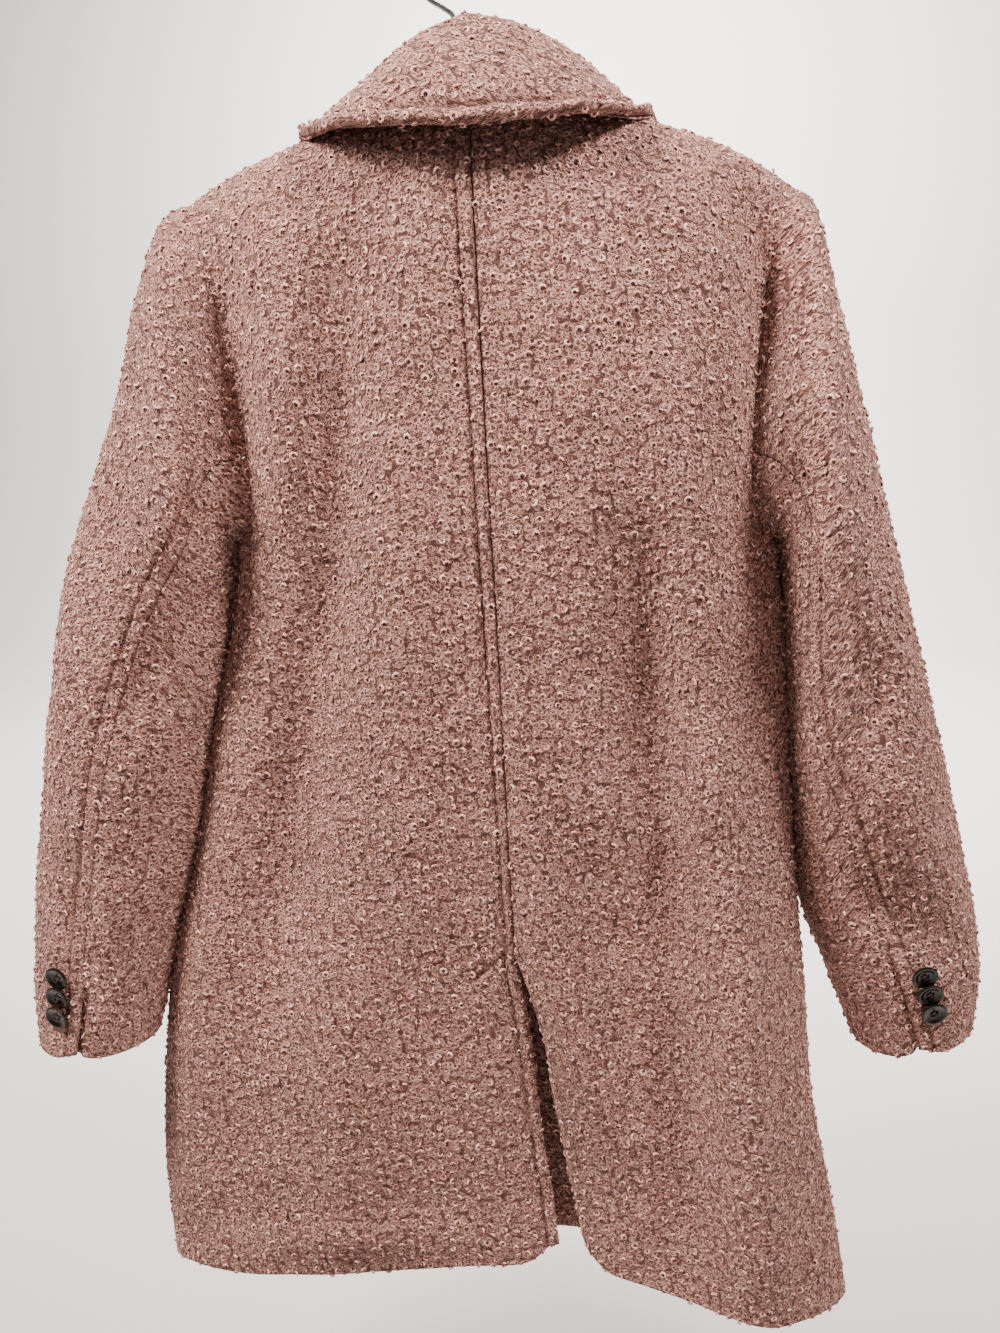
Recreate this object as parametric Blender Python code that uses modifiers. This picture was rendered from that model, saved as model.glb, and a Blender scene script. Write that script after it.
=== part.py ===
"""A double-breasted pea coat of looped wool cloth, buttoned up and hanging on a clothes hanger.

Frame: +Z up, the coat's front at -Y, the wearer's left side at +X. The origin is where the
hanger's hook bears. Lengths down the coat ("down") are measured from the high shoulder point,
the way a cutter measures them. Every piece of cloth is a wall between an outer face, which a
function of two parameters gives, and the same face moved inwards by the cloth's thickness.
"""

import math

import bmesh
import bpy
import numpy as np
from mathutils import Vector

# Steps for measuring slopes: along a surface's own places, in metres, and on a sleeve
SMALLEST = 1e-7
NORMAL_STEP = 1e-3
SLOPE_STEP = 0.01
RING_STEP = 0.02

# Cloth and seams
CLOTH = 0.003
COLLAR_CLOTH = 0.004
SEAM_GAP = 0.0003
ARMHOLE_GAP = {"left": 0.0006, "right": 0.0008}

# Where the coat hangs: its centre back from the hook, its high shoulder point below the
# hook's bearing point, and the slope of the hanger, lower on the wearer's right
COAT_X = -0.0106
HIGH_POINT_Z = -0.1075
HANG_SLOPE = 0.042

# Neck, shoulder and armhole
NECK_HALF = 0.068
NECK_DROP = 0.015
SHOULDER_HALF = 0.197
UNDERARM_DROP = 0.274
SHOULDER_ROUND = 0.075
SECTION_POWER = 0.8

# Fronts: how far each laps past the centre, where the lapel breaks, and how far the front
# that lies underneath is set in
LAP = 0.075
BREAK_DROP = 0.225
UNDER_INSET = 0.0085
UNDER_FADE = (0.085, 0.135)
UNDER_START = (0.030, 0.100)

# Hem heights, down from the high shoulder point
HEM_BACK_LEFT = 0.823
HEM_BACK_RIGHT = 0.820
HEM_SIDE_LEFT = 0.850
HEM_SIDE_RIGHT = 0.836
HEM_FRONT = 0.832

# Centre-back vent
VENT_TOP = 0.569
UNDERLAP_TOP = 0.581
UNDERLAP = 0.034
VENT_CORNER = (0.020, 0.016)
FOLD_STEP = 0.0022
UNDERLAP_SHARES = (1.0, 0.5, 0.0)
BACK_HEM_WIDTH = 0.28

# The body's level sections: half widths, the centre depths, the side seams' depths and how
# far the back swells between them
BODY_COLUMNS = ("down", "left", "right", "back", "front",
                "seam_left", "seam_right", "swell_left", "swell_right")
BODY = [
    (-0.03, 0.215, 0.215, 0.047, -0.046, 0.000, 0.000, 0.000, 0.000),
    (0.05, 0.211, 0.210, 0.051, -0.052, 0.000, 0.000, 0.000, 0.000),
    (0.14, 0.205, 0.204, 0.055, -0.058, 0.000, 0.000, 0.002, 0.002),
    (0.23, 0.196, 0.195, 0.056, -0.062, 0.000, 0.000, 0.003, 0.001),
    (0.274, 0.187, 0.1870, 0.056, -0.063, 0.000, 0.000, 0.003, 0.000),
    (0.33, 0.197, 0.1926, 0.055, -0.063, 0.001, 0.000, 0.003, -0.002),
    (0.38, 0.2120, 0.1936, 0.053, -0.062, 0.003, 0.001, 0.003, -0.003),
    (0.43, 0.2253, 0.1948, 0.052, -0.061, 0.005, 0.002, 0.003, 0.000),
    (0.53, 0.2520, 0.2000, 0.051, -0.058, 0.010, 0.006, 0.005, 0.006),
    (0.59, 0.2705, 0.2040, 0.050, -0.056, 0.014, 0.012, 0.007, 0.012),
    (0.68, 0.286, 0.209, 0.049, -0.053, 0.020, 0.020, 0.010, 0.020),
    (0.76, 0.294, 0.222, 0.047, -0.050, 0.026, 0.028, 0.013, 0.027),
    (0.85, 0.293, 0.234, 0.045, -0.047, 0.032, 0.034, 0.015, 0.032),
]

# The shoulder's ridge, as seen from the back
RIDGE_COLUMNS = ("out", "left", "right")
RIDGE = [
    (-0.068, 0.000, 0.000),
    (0.000, -0.015, -0.015),
    (0.068, 0.000, 0.000),
    (0.120, 0.0155, 0.0160),
    (0.165, 0.0315, 0.0340),
    (0.197, 0.0480, 0.0545),
    (0.230, 0.0720, 0.0820),
]

# The armhole, as seen from the back
ARMHOLE_COLUMNS = ("down", "out")
ARMHOLE = [
    (-0.030, 0.197),
    (0.048, 0.197),
    (0.080, 0.188),
    (0.112, 0.1815),
    (0.168, 0.1735),
    (0.210, 0.1695),
    (0.240, 0.1690),
    (0.262, 0.1755),
    (0.274, 0.1865),
]

# The vent: the left flap's edge, the right flap's fold, and how deep the underlap lies
VENT_COLUMNS = ("down", "edge", "fold", "inset")
VENT = [
    (0.569, 0.0000, -0.0002, 0.0045),
    (0.581, -0.0015, -0.0035, 0.0048),
    (0.610, -0.0055, -0.0100, 0.0070),
    (0.690, -0.0112, -0.0200, 0.0110),
    (0.780, -0.0185, -0.0330, 0.0150),
    (0.850, -0.0225, -0.0430, 0.0170),
]

# The sleeves: for each ring its outer and inner point, its middle depth and half depth, and
# the angles of its back and front seams, from the outer point round the back
SLEEVE_COLUMNS = ("outer_out", "outer_down", "inner_out", "inner_down", "middle", "half",
                  "back_seam", "front_seam")
SLEEVES = {
    "left": [
        (0.1970, 0.048, 0.1870, 0.274, 0.000, 0.045, 120, 240),
        (0.2185, 0.058, 0.1890, 0.277, 0.000, 0.053, 121, 246),
        (0.2360, 0.098, 0.1910, 0.281, 0.002, 0.056, 124, 250),
        (0.2510, 0.150, 0.1930, 0.287, 0.005, 0.057, 127, 253),
        (0.2720, 0.206, 0.1955, 0.299, 0.008, 0.057, 126, 255),
        (0.3010, 0.268, 0.2030, 0.327, 0.010, 0.056, 118, 256),
        (0.3264, 0.348, 0.2155, 0.384, 0.014, 0.054, 104, 257),
        (0.3410, 0.409, 0.2285, 0.438, 0.017, 0.051, 98, 258),
        (0.3537, 0.4705, 0.2440, 0.497, 0.020, 0.048, 96, 258),
        (0.3660, 0.540, 0.2660, 0.565, 0.025, 0.045, 96, 258),
        (0.3735, 0.606, 0.2790, 0.618, 0.030, 0.043, 99, 258),
        (0.3755, 0.655, 0.2855, 0.653, 0.033, 0.042, 94, 258),
    ],
    "right": [
        (0.1970, 0.0545, 0.1860, 0.274, 0.000, 0.045, 120, 240),
        (0.2120, 0.066, 0.1880, 0.277, 0.000, 0.052, 122, 246),
        (0.2205, 0.104, 0.1895, 0.281, 0.000, 0.056, 127, 250),
        (0.2300, 0.146, 0.1910, 0.290, 0.002, 0.058, 132, 253),
        (0.2410, 0.194, 0.1925, 0.305, 0.004, 0.059, 137, 255),
        (0.2540, 0.247, 0.1935, 0.325, 0.004, 0.059, 141, 256),
        (0.2721, 0.319, 0.1945, 0.365, 0.001, 0.058, 142, 257),
        (0.2870, 0.375, 0.1950, 0.418, -0.003, 0.056, 136, 258),
        (0.3010, 0.430, 0.1985, 0.468, -0.006, 0.053, 121, 258),
        (0.3180, 0.505, 0.2030, 0.532, -0.010, 0.049, 109, 258),
        (0.3310, 0.575, 0.2220, 0.590, -0.013, 0.046, 101, 258),
        (0.3290, 0.631, 0.2450, 0.652, -0.015, 0.044, 97, 258),
    ],
}
SLEEVE_SIGN = {"left": 1, "right": -1}
CAP_RINGS = 3.0
SEAM_ANGLE = 0.0035
CUFF_LIFT = 0.12
CUFF_LIFT_WIDTH = 14.0
CUFF_LIFT_POWER = 8

# The collar: for each place from the centre back to the front end, its roll line, its leaf
# edge and the radius of the roll
COLLAR_COLUMNS = ("at", "roll_x", "roll_y", "roll_down", "leaf_x", "leaf_y", "leaf_down",
                  "roll_radius", "turn")
COLLAR = [
    (0.00, 0.000, 0.037, -0.0460, 0.000, 0.0680, 0.0295, 0.0070, 0),
    (0.20, 0.030, 0.033, -0.0400, 0.042, 0.0660, 0.0270, 0.0070, 32),
    (0.40, 0.058, 0.017, -0.0300, 0.081, 0.0580, 0.0225, 0.0070, 62),
    (0.60, 0.076, -0.008, -0.0205, 0.109, 0.0280, 0.0160, 0.0065, 92),
    (0.75, 0.079, -0.030, -0.0080, 0.123, -0.0050, 0.0085, 0.0060, 110),
    (0.88, 0.070, -0.049, 0.0130, 0.130, -0.0400, 0.0330, 0.0055, 128),
    (1.00, 0.056, -0.0585, 0.0350, 0.120, -0.0600, 0.0660, 0.0050, 140),
]
RIGHT_LEAF_SHARE = 0.93
COLLAR_LEAN = 0.0055
COLLAR_LEAN_REACH = 0.8
STAND_LIFT = 0.0008
STAND_INSET = 0.003
FRONT_STAND_INSET = 0.0036
FRONT_STAND_LIFT = 0.0140
FRONT_STAND = (0.45, 0.62)
NECK_END_DROP = 0.035

# The share of the collar's length along the back neck, and the shares of its width that stand
# up and that roll over
BACK_NECK_SHARE = 0.6
STAND_SHARE = 0.30
ROLL_SHARE = 0.42
LEAF_BELLY = 0.006
LEAF_BELLY_LOSS = 0.5
COLLAR_ACROSS = (0, 0.15, 0.30, 0.33, 0.36, 0.39, 0.42, 0.55, 0.70, 0.85, 1.0)

# Lapels, seen from the front: outline from the break up the roll line, and from the break
# up the outer edge; each row is one level across the lapel
LAPEL_COLUMNS = ("down", "outer")
LAPEL = [
    (0.225, -0.0740),
    (0.200, -0.0350),
    (0.165, 0.0200),
    (0.130, 0.0720),
    (0.105, 0.1080),
    (0.088, 0.1320),
]
LAPEL_TOP_INNER_DROP = 0.048
LAPEL_OFFSET = 0.0039
LAPEL_END_GAP = 0.001
LAPEL_ROLL_GAP = 0.0005
LAPEL_LEAST_WIDTH = 0.002

# Buttons: radius and thickness
FRONT_BUTTON = (0.0125, 0.0040)
CUFF_BUTTON = (0.0092, 0.0028)
BUTTON_SIDES = 18
BUTTON_BACK_SHARE = 0.85
BUTTON_PROFILE = ((0, 0.55), (0.62, 0.55), (0.78, 0.95), (0.93, 1), (1, 0.6),
                  (BUTTON_BACK_SHARE, 0), (0, 0))
FRONT_BUTTON_OUT = 0.056
FRONT_BUTTON_DROPS = (0.285, 0.385, 0.485)
CUFF_BUTTON_STEPS = (0.037, 0.052, 0.067)
CUFF_BUTTON_REACH = 2.5
CUFF_BUTTON_TILT = math.radians(12)
CUFF_BUTTON_FROM_SEAM = {"left": 21.5, "right": 17.5}
BUTTON_SHANK = 0.0006
CUFF_BUTTON_SHANK = 0.0004
FRONT_BUTTON_LIFT = 0.0003

# Hanger
HOOK_RADIUS = 0.024
WIRE_RADIUS = 0.0016
BAR_RADIUS = 0.006
BAR_HALF = 0.176
BAR_LEVEL_HALF = 0.05
BAR_NECK_RISE = 0.004
BAR_GAP = 0.0020
BAR_STEPS = 25
STEM_FOOT_LIFT = 0.0004
STEM_RISES = ((0, 0.034), (0.0012, 0.0295), (0.0048, 0.0255))
HOOK_TURN = (-63, 205)
HOOK_STEPS = 28

# How finely each piece is divided
ARMHOLE_ROWS = 12
WAIST_ROWS = 7
SKIRT_ROWS = 6
BACK_COLUMNS = 9
FRONT_COLUMNS = 10
TOP_COLUMNS = 16
UNDER_COLUMNS = 8
SLEEVE_ROWS = 18
COLLAR_STEPS = 30
LAPEL_STEPS = 8
LAPEL_ROWS = 12
SECTION_SAMPLES = 48
SHARP_ANGLE = math.radians(40)
MERGE_DISTANCE = 1e-5


def column(table, names, name):
    """One named column of a table."""
    return np.array([row[names.index(name)] for row in table], float)


def smooth(xs, ys, at):
    """A curve through the points (xs, ys), read at the given places."""
    at = np.clip(at, xs[0], xs[-1])
    slopes = np.gradient(ys, xs)
    i = np.clip(np.searchsorted(xs, at, side="right") - 1, 0, len(xs) - 2)
    step = xs[i + 1] - xs[i]
    t = (at - xs[i]) / step
    rise = 3 * t**2 - 2 * t**3
    return (ys[i] * (1 - rise) + ys[i + 1] * rise
            + step * slopes[i] * t * (1 - t) ** 2 - step * slopes[i + 1] * t**2 * (1 - t))


def body(name, down):
    """A column of the body's table at these heights."""
    return smooth(column(BODY, BODY_COLUMNS, "down"), column(BODY, BODY_COLUMNS, name), down)


def body_side(name, x, down):
    """A left and right pair of columns, each on its own side."""
    return np.where(x >= 0, body(name + "_left", down), body(name + "_right", down))


def half_width(x, down):
    return np.where(x >= 0, body("left", down), body("right", down))


def ridge_down(x):
    """How far down the shoulder's ridge lies at a distance from the centre back."""
    outs = column(RIDGE, RIDGE_COLUMNS, "out")
    left = smooth(outs, column(RIDGE, RIDGE_COLUMNS, "left"), np.abs(x))
    right = smooth(outs, column(RIDGE, RIDGE_COLUMNS, "right"), np.abs(x))
    return np.where(x >= 0, left, right)


def armhole_down(sign, angle):
    """How far down a point of the armhole lies, at an angle from the shoulder."""
    shoulder = ridge_down(sign * SHOULDER_HALF)
    return shoulder + (UNDERARM_DROP - shoulder) * (1 - np.cos(angle)) / 2


def armhole_out(down):
    return smooth(column(ARMHOLE, ARMHOLE_COLUMNS, "down"),
                  column(ARMHOLE, ARMHOLE_COLUMNS, "out"), down)


def vent(name, down):
    return smooth(column(VENT, VENT_COLUMNS, "down"), column(VENT, VENT_COLUMNS, name), down)


def fade(low, high, at):
    """0 below low, 1 above high, with soft ends."""
    t = np.clip((at - low) / (high - low), 0, 1)
    return t * t * (3 - 2 * t)


def depth(face, x, down):
    """The body's outer face: its Y at a place seen from the front or back. face is 1 at the
    back and -1 at the front."""
    share = np.clip(np.abs(x) / half_width(x, down), 0, 1)
    across = np.sqrt(1 - share**2)
    centre = body("back" if face > 0 else "front", down)
    seam = body_side("seam", x, down)
    y = seam + (centre - seam) * across**SECTION_POWER
    if face > 0:
        y = y + body_side("swell", x, down) * 4 * (share * across) ** 2
    below = np.clip((down - ridge_down(x)) / SHOULDER_ROUND, 0, 1)
    return y * np.sqrt(1 - (1 - below) ** 2)


def side_edge(sign, down):
    """How far out a body panel reaches: to the armhole, and below it to the side seam."""
    seam = body("left" if sign > 0 else "right", down)
    return np.where(down < UNDERARM_DROP, np.minimum(armhole_out(down), seam), seam)


def across_section(face, sign, inner, down, u):
    """x at the share u of the way round a section, from its inner edge to its side."""
    outer = side_edge(sign, down)
    steps = np.sin(np.linspace(0, math.pi / 2, SECTION_SAMPLES + 1))
    xs = sign * (inner[..., None] + (outer - inner)[..., None] * steps)
    ys = depth(face, xs, np.broadcast_to(down[..., None], xs.shape))
    run = np.cumsum(np.hypot(np.diff(xs, axis=-1), np.diff(ys, axis=-1)), axis=-1)
    run = np.concatenate([np.zeros_like(run[..., :1]), run], axis=-1)
    goal = u * run[..., -1]
    i = np.clip((run <= goal[..., None]).sum(axis=-1) - 1, 0, SECTION_SAMPLES - 1)[..., None]
    low = np.take_along_axis(run, i, -1)[..., 0]
    high = np.take_along_axis(run, i + 1, -1)[..., 0]
    share = (goal - low) / np.maximum(high - low, SMALLEST)
    start = np.take_along_axis(xs, i, -1)[..., 0]
    return start + share * (np.take_along_axis(xs, i + 1, -1)[..., 0] - start)


def placed(x, y, down):
    """Coat measures to the world, with the hanger's slope."""
    return np.stack([x + COAT_X, y, HIGH_POINT_Z - down + HANG_SLOPE * x], axis=-1)


def neckline_down(x):
    """The back's top edge: the neckline, then the shoulder's ridge."""
    neck = NECK_DROP * np.cos(np.clip(np.abs(x) / NECK_HALF, 0, 1) * math.pi / 2)
    return np.where(np.abs(x) < NECK_HALF, neck, ridge_down(x))


def back_inner(sign, down):
    """The centre-back edge of a back panel, as a distance towards its own side."""
    gap = SEAM_GAP / 2
    if sign > 0:
        return np.where(down > VENT_TOP, vent("edge", down), 0) + gap
    return np.where(down > VENT_TOP, -vent("fold", down), 0) + gap


def back_point(sign, u, v):
    """A point of a back panel: u from the centre back to the side, v from the top to the hem."""
    start = np.full(np.shape(u), SEAM_GAP / 2)
    out = u * SHOULDER_HALF
    for _ in range(4):
        top = neckline_down(sign * out)
        out = np.abs(across_section(1, sign, start, top, u))
    hem_centre = HEM_BACK_LEFT if sign > 0 else HEM_BACK_RIGHT
    hem_side = HEM_SIDE_LEFT if sign > 0 else HEM_SIDE_RIGHT
    hem = hem_centre + (hem_side - hem_centre) * u
    corner_lift, corner_width = VENT_CORNER
    hem = hem - corner_lift * np.exp(-((u * BACK_HEM_WIDTH / corner_width) ** 2))
    down = top + (hem - top) * v
    x = across_section(1, sign, back_inner(sign, down), down, u)
    return placed(x, depth(1, x, down) + SEAM_GAP / 2, down)


def roll_line(down):
    """The front edge: level with the lap below the break, then the roll line up to the neck."""
    share = np.clip((BREAK_DROP - down) / BREAK_DROP, 0, 1)
    return -LAP + (NECK_HALF + LAP) * share


def under_inset(sign, x, down):
    """How far inwards the left front lies, where the right front laps over it."""
    if sign < 0:
        return np.zeros(np.shape(x))
    below = fade(*UNDER_START, down - ridge_down(x))
    return UNDER_INSET * (1 - fade(*UNDER_FADE, x)) * below


def front_point(sign, u, v):
    """A point of a front panel: u from the front edge to the side, v from the top to the hem."""
    top = ridge_down(sign * (NECK_HALF + u * (SHOULDER_HALF - NECK_HALF)))
    for _ in range(12):
        top = ridge_down(across_section(-1, sign, roll_line(top), top, u))
    hem_side = HEM_SIDE_LEFT if sign > 0 else HEM_SIDE_RIGHT
    hem = HEM_FRONT + (hem_side - HEM_FRONT) * fade(0, 1, u)
    down = top + (hem - top) * v
    x = across_section(-1, sign, roll_line(down), down, u)
    y = depth(-1, x, down) + under_inset(sign, x, down) - SEAM_GAP / 2
    return placed(x, y, down)


def armhole_point(sign, angle):
    """A point of the armhole, at an angle from the shoulder round the back."""
    down = armhole_down(sign, angle)
    x = sign * side_edge(sign, down)
    y = np.where(np.sin(angle) >= 0, depth(1, x, down), depth(-1, x, down))
    return placed(x, y, down)


def sleeve_column(side, name, ring):
    values = column(SLEEVES[side], SLEEVE_COLUMNS, name)
    return smooth(np.arange(len(values), dtype=float), values, ring)


def sleeve_ring(side, ring, angle):
    """The plain oval of a sleeve at a ring number."""
    sign = SLEEVE_SIGN[side]
    outer_out, outer_down, inner_out, inner_down, middle, half = (
        sleeve_column(side, name, ring) for name in SLEEVE_COLUMNS[:6])
    share = (1 + np.cos(angle)) / 2
    x = sign * (inner_out + (outer_out - inner_out) * share)
    down = inner_down + (outer_down - inner_down) * share
    return placed(x, middle + half * np.sin(angle), down)


def sleeve_point(side, ring, angle):
    """A point of a sleeve: its oval, drawn to the armhole over the first rings."""
    sign = SLEEVE_SIGN[side]
    start = armhole_point(sign, angle)
    off = np.stack([sign + 0 * angle, 0 * angle, (1 - np.cos(angle)) / 2], axis=-1)
    start = start + off * ARMHOLE_GAP[side]
    pull = np.clip(1 - ring / CAP_RINGS, 0, 1) ** 2
    oval = sleeve_ring(side, ring, angle)
    return oval + (start - sleeve_ring(side, 0 * ring, angle)) * pull[..., None]


def sleeve_place(side, top, u, v):
    """The ring and angle of a point of a top or under sleeve: u between its seams, v to the
    cuff."""
    ring = v * (len(SLEEVES[side]) - 1)
    back = np.radians(sleeve_column(side, "back_seam", ring))
    front = np.radians(sleeve_column(side, "front_seam", ring))
    start, end = (front - 2 * math.pi, back) if top else (back, front)
    angle = start + SEAM_ANGLE + (end - start - 2 * SEAM_ANGLE) * u
    near = np.degrees(angle - back) / CUFF_LIFT_WIDTH
    return ring - CUFF_LIFT * v**CUFF_LIFT_POWER * np.exp(-(near**2)), angle


def sleeve_normal(side, ring, angle):
    """A sleeve's unit normal, pointing out."""
    last = len(SLEEVES[side]) - 1
    step = SLOPE_STEP
    round_it = sleeve_point(side, ring, angle + step) - sleeve_point(side, ring, angle - step)
    down = (sleeve_point(side, np.minimum(ring + step, last), angle)
            - sleeve_point(side, np.maximum(ring - step, 0), angle))
    cross = np.cross(down, round_it) * SLEEVE_SIGN[side]
    return cross / np.maximum(np.linalg.norm(cross, axis=-1, keepdims=True), SMALLEST)


def collar_column(name, at):
    values = column(COLLAR, COLLAR_COLUMNS, name)
    return smooth(column(COLLAR, COLLAR_COLUMNS, "at"), values, np.abs(at))


def neck_seam(at):
    """The seam that the collar's stand sits on: the back neckline, then down the roll line."""
    sign = np.where(at >= 0, 1.0, -1.0)
    far = np.abs(at)
    back_out = NECK_HALF * np.sin(np.clip(far / BACK_NECK_SHARE, 0, 1) * math.pi / 2)
    back_down = neckline_down(np.minimum(back_out, NECK_HALF - SMALLEST))
    back_y = depth(1, sign * back_out, back_down)
    front_down = NECK_END_DROP * np.clip((far - BACK_NECK_SHARE) / (1 - BACK_NECK_SHARE), 0, 1)
    front_out = roll_line(front_down)
    front_y = depth(-1, sign * front_out, front_down)
    behind = far < BACK_NECK_SHARE
    out = np.where(behind, back_out, front_out)
    y = np.where(behind, back_y, front_y)
    return sign * out, y, np.where(behind, back_down, front_down)


def collar_point(at, across):
    """A point of the collar: at from -1 to 1 along it, across from the neck seam over the roll
    to the leaf edge."""
    sign = np.where(at >= 0, 1.0, -1.0)
    neck_x, neck_y, neck_down = neck_seam(at)
    turn = np.radians(collar_column("turn", at))
    out_x, out_y = sign * np.sin(turn), np.cos(turn)
    radius = collar_column("roll_radius", at)
    roll_x, roll_y = sign * collar_column("roll_x", at), collar_column("roll_y", at)
    lean = np.clip(np.sin(math.pi * np.clip(at / COLLAR_LEAN_REACH, 0, 1)), 0, 1)
    roll_down = collar_column("roll_down", at) + COLLAR_LEAN * lean
    leaf_x = sign * collar_column("leaf_x", at) * np.where(sign > 0, 1, RIGHT_LEAF_SHARE)
    leaf_y = collar_column("leaf_y", at)
    leaf_down = collar_column("leaf_down", at)
    stand, roll = STAND_SHARE, ROLL_SHARE
    t_stand = np.clip(across / stand, 0, 1)
    t_roll = np.clip((across - stand) / (roll - stand), 0, 1) * math.pi
    t_leaf = np.clip((across - roll) / (1 - roll), 0, 1)
    centre_down = roll_down + radius
    front = fade(*FRONT_STAND, np.abs(at))
    inset = STAND_INSET + FRONT_STAND_INSET * front
    foot_x, foot_y = neck_x - out_x * inset, neck_y - out_y * inset
    foot_down = neck_down - STAND_LIFT - FRONT_STAND_LIFT * front
    stand_point = [
        foot_x + (roll_x - out_x * radius - foot_x) * t_stand,
        foot_y + (roll_y - out_y * radius - foot_y) * t_stand,
        foot_down + (centre_down - foot_down) * t_stand,
    ]
    roll_point = [
        roll_x - out_x * radius * np.cos(t_roll),
        roll_y - out_y * radius * np.cos(t_roll),
        centre_down - radius * np.sin(t_roll),
    ]
    belly = LEAF_BELLY * np.sin(math.pi * t_leaf) * (1 - LEAF_BELLY_LOSS * np.abs(at))
    leaf_point = [
        roll_x + out_x * radius + (leaf_x - roll_x - out_x * radius) * t_leaf + out_x * belly,
        roll_y + out_y * radius + (leaf_y - roll_y - out_y * radius) * t_leaf + out_y * belly,
        centre_down + (leaf_down - centre_down) * t_leaf,
    ]
    parts = [np.where(across < stand, a, np.where(across < roll, b, c))
             for a, b, c in zip(stand_point, roll_point, leaf_point, strict=True)]
    return placed(*parts)


def lapel_point(sign, u, v):
    """A point of a lapel: u from the roll line to the outer edge, v from the top to the break."""
    downs = column(LAPEL, LAPEL_COLUMNS, "down")[::-1]
    outers = column(LAPEL, LAPEL_COLUMNS, "outer")[::-1]
    top = LAPEL_TOP_INNER_DROP + (downs[0] - LAPEL_TOP_INNER_DROP) * u
    down = top + (BREAK_DROP - LAPEL_END_GAP - top) * v
    inner = roll_line(down) + LAPEL_ROLL_GAP
    outer = smooth(downs, outers, down)
    out = inner + (np.maximum(outer, inner + LAPEL_LEAST_WIDTH) - inner) * u
    x = sign * out
    return placed(x, depth(-1, x, down) + under_inset(sign, x, down) - LAPEL_OFFSET, down)


def normals(point, u, v, outwards):
    """Unit normals of a surface, turned to the side that the given direction points to."""
    step = NORMAL_STEP
    along = point(np.clip(u + step, 0, 1), v) - point(np.clip(u - step, 0, 1), v)
    down = point(u, np.clip(v + step, 0, 1)) - point(u, np.clip(v - step, 0, 1))
    cross = np.cross(along, down)
    cross /= np.linalg.norm(cross, axis=-1, keepdims=True)
    middle = cross[cross.shape[0] // 2, cross.shape[1] // 2]
    return cross if middle @ np.array(outwards) > 0 else -cross


def finish_mesh(name, points, faces, material):
    """An object of one closed mesh with its faces pointing out."""
    mesh = bpy.data.meshes.new(name)
    mesh.from_pydata(points, [], faces)
    shape = bmesh.new()
    shape.from_mesh(mesh)
    loose = [vert for vert in shape.verts if not vert.link_faces]
    bmesh.ops.delete(shape, geom=loose, context="VERTS")
    bmesh.ops.recalc_face_normals(shape, faces=shape.faces)
    shape.to_mesh(mesh)
    shape.free()
    mesh.materials.append(material)
    mesh.shade_smooth()
    mesh.set_sharp_from_angle(angle=SHARP_ANGLE)
    obj = bpy.data.objects.new(name, mesh)
    COAT.objects.link(obj)
    return obj


def wall(name, outer, inner, material, used=None):
    """A closed wall between two grids of points. used marks the grid's cells that are cloth."""
    rows, columns = outer.shape[:2]
    if used is None:
        used = np.ones((rows - 1, columns - 1), bool)
    count = rows * columns
    points = np.concatenate([outer.reshape(-1, 3), inner.reshape(-1, 3)]).tolist()
    faces = []
    edges = {}
    for r, c in zip(*np.nonzero(used), strict=True):
        ring = [r * columns + c, r * columns + c + 1, (r + 1) * columns + c + 1, (r + 1) * columns + c]
        faces.append(ring)
        faces.append([count + i for i in reversed(ring)])
        for a, b in zip(ring, ring[1:] + ring[:1], strict=True):
            key = (min(a, b), max(a, b))
            edges[key] = None if key in edges else (a, b)
    for pair in edges.values():
        if pair:
            a, b = pair
            faces.append([b, a, count + a, count + b])
    return finish_mesh(name, points, faces, material)


def grid(columns, rows):
    """u and v for a grid: columns is a list of u values and rows of v values."""
    return np.meshgrid(np.asarray(columns, float), np.asarray(rows, float))


def panel_rows(sign):
    """Row places of a body panel: the armhole's points, which the sleeve's ring shares, and
    even steps below them."""
    hem = HEM_SIDE_LEFT if sign > 0 else HEM_SIDE_RIGHT
    shoulder = float(ridge_down(sign * SHOULDER_HALF))
    upper = (armhole_down(sign, np.linspace(0, math.pi, ARMHOLE_ROWS + 1)) - shoulder) / (hem - shoulder)
    hem_centre = (HEM_BACK_LEFT if sign > 0 else HEM_BACK_RIGHT) - VENT_CORNER[0]
    vent_top, vent_start = ((drop - NECK_DROP) / (hem_centre - NECK_DROP)
                            for drop in (VENT_TOP, UNDERLAP_TOP))
    waist = np.linspace(upper[-1], vent_top, WAIST_ROWS + 1)[1:]
    skirt = np.linspace(vent_start, 1, SKIRT_ROWS + 1)
    return np.concatenate([upper, waist, skirt])


def material(name, colour, roughness, metallic=0.0):
    made = bpy.data.materials.new(name)
    made.use_nodes = True
    shader = made.node_tree.nodes["Principled BSDF"]
    shader.inputs["Base Color"].default_value = (*colour, 1)
    shader.inputs["Roughness"].default_value = roughness
    shader.inputs["Metallic"].default_value = metallic
    made.diffuse_color = (*colour, 1)
    return made


def square_rims(facing, outer, sign):
    """Turns the normals of a body panel's edges so that its rims stand square to the seams."""
    down = HIGH_POINT_Z - outer[..., 2] + HANG_SLOPE * (outer[..., 0] - COAT_X)
    out = np.abs(outer[..., 0] - COAT_X)
    side = np.zeros(down.shape, bool)
    side[:, -1] = down[:, -1] > UNDERARM_DROP - SMALLEST
    ridge = np.zeros(down.shape, bool)
    ridge[0] = out[0] > NECK_HALF - SMALLEST
    centre = np.zeros(down.shape, bool)
    centre[:, 0] = out[:, 0] < 2 * SEAM_GAP
    facing = facing.copy()
    facing[side, 1] = 0
    facing[ridge, 1] = 0
    facing[centre, 0] = 0
    return facing / np.linalg.norm(facing, axis=-1, keepdims=True)


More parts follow.
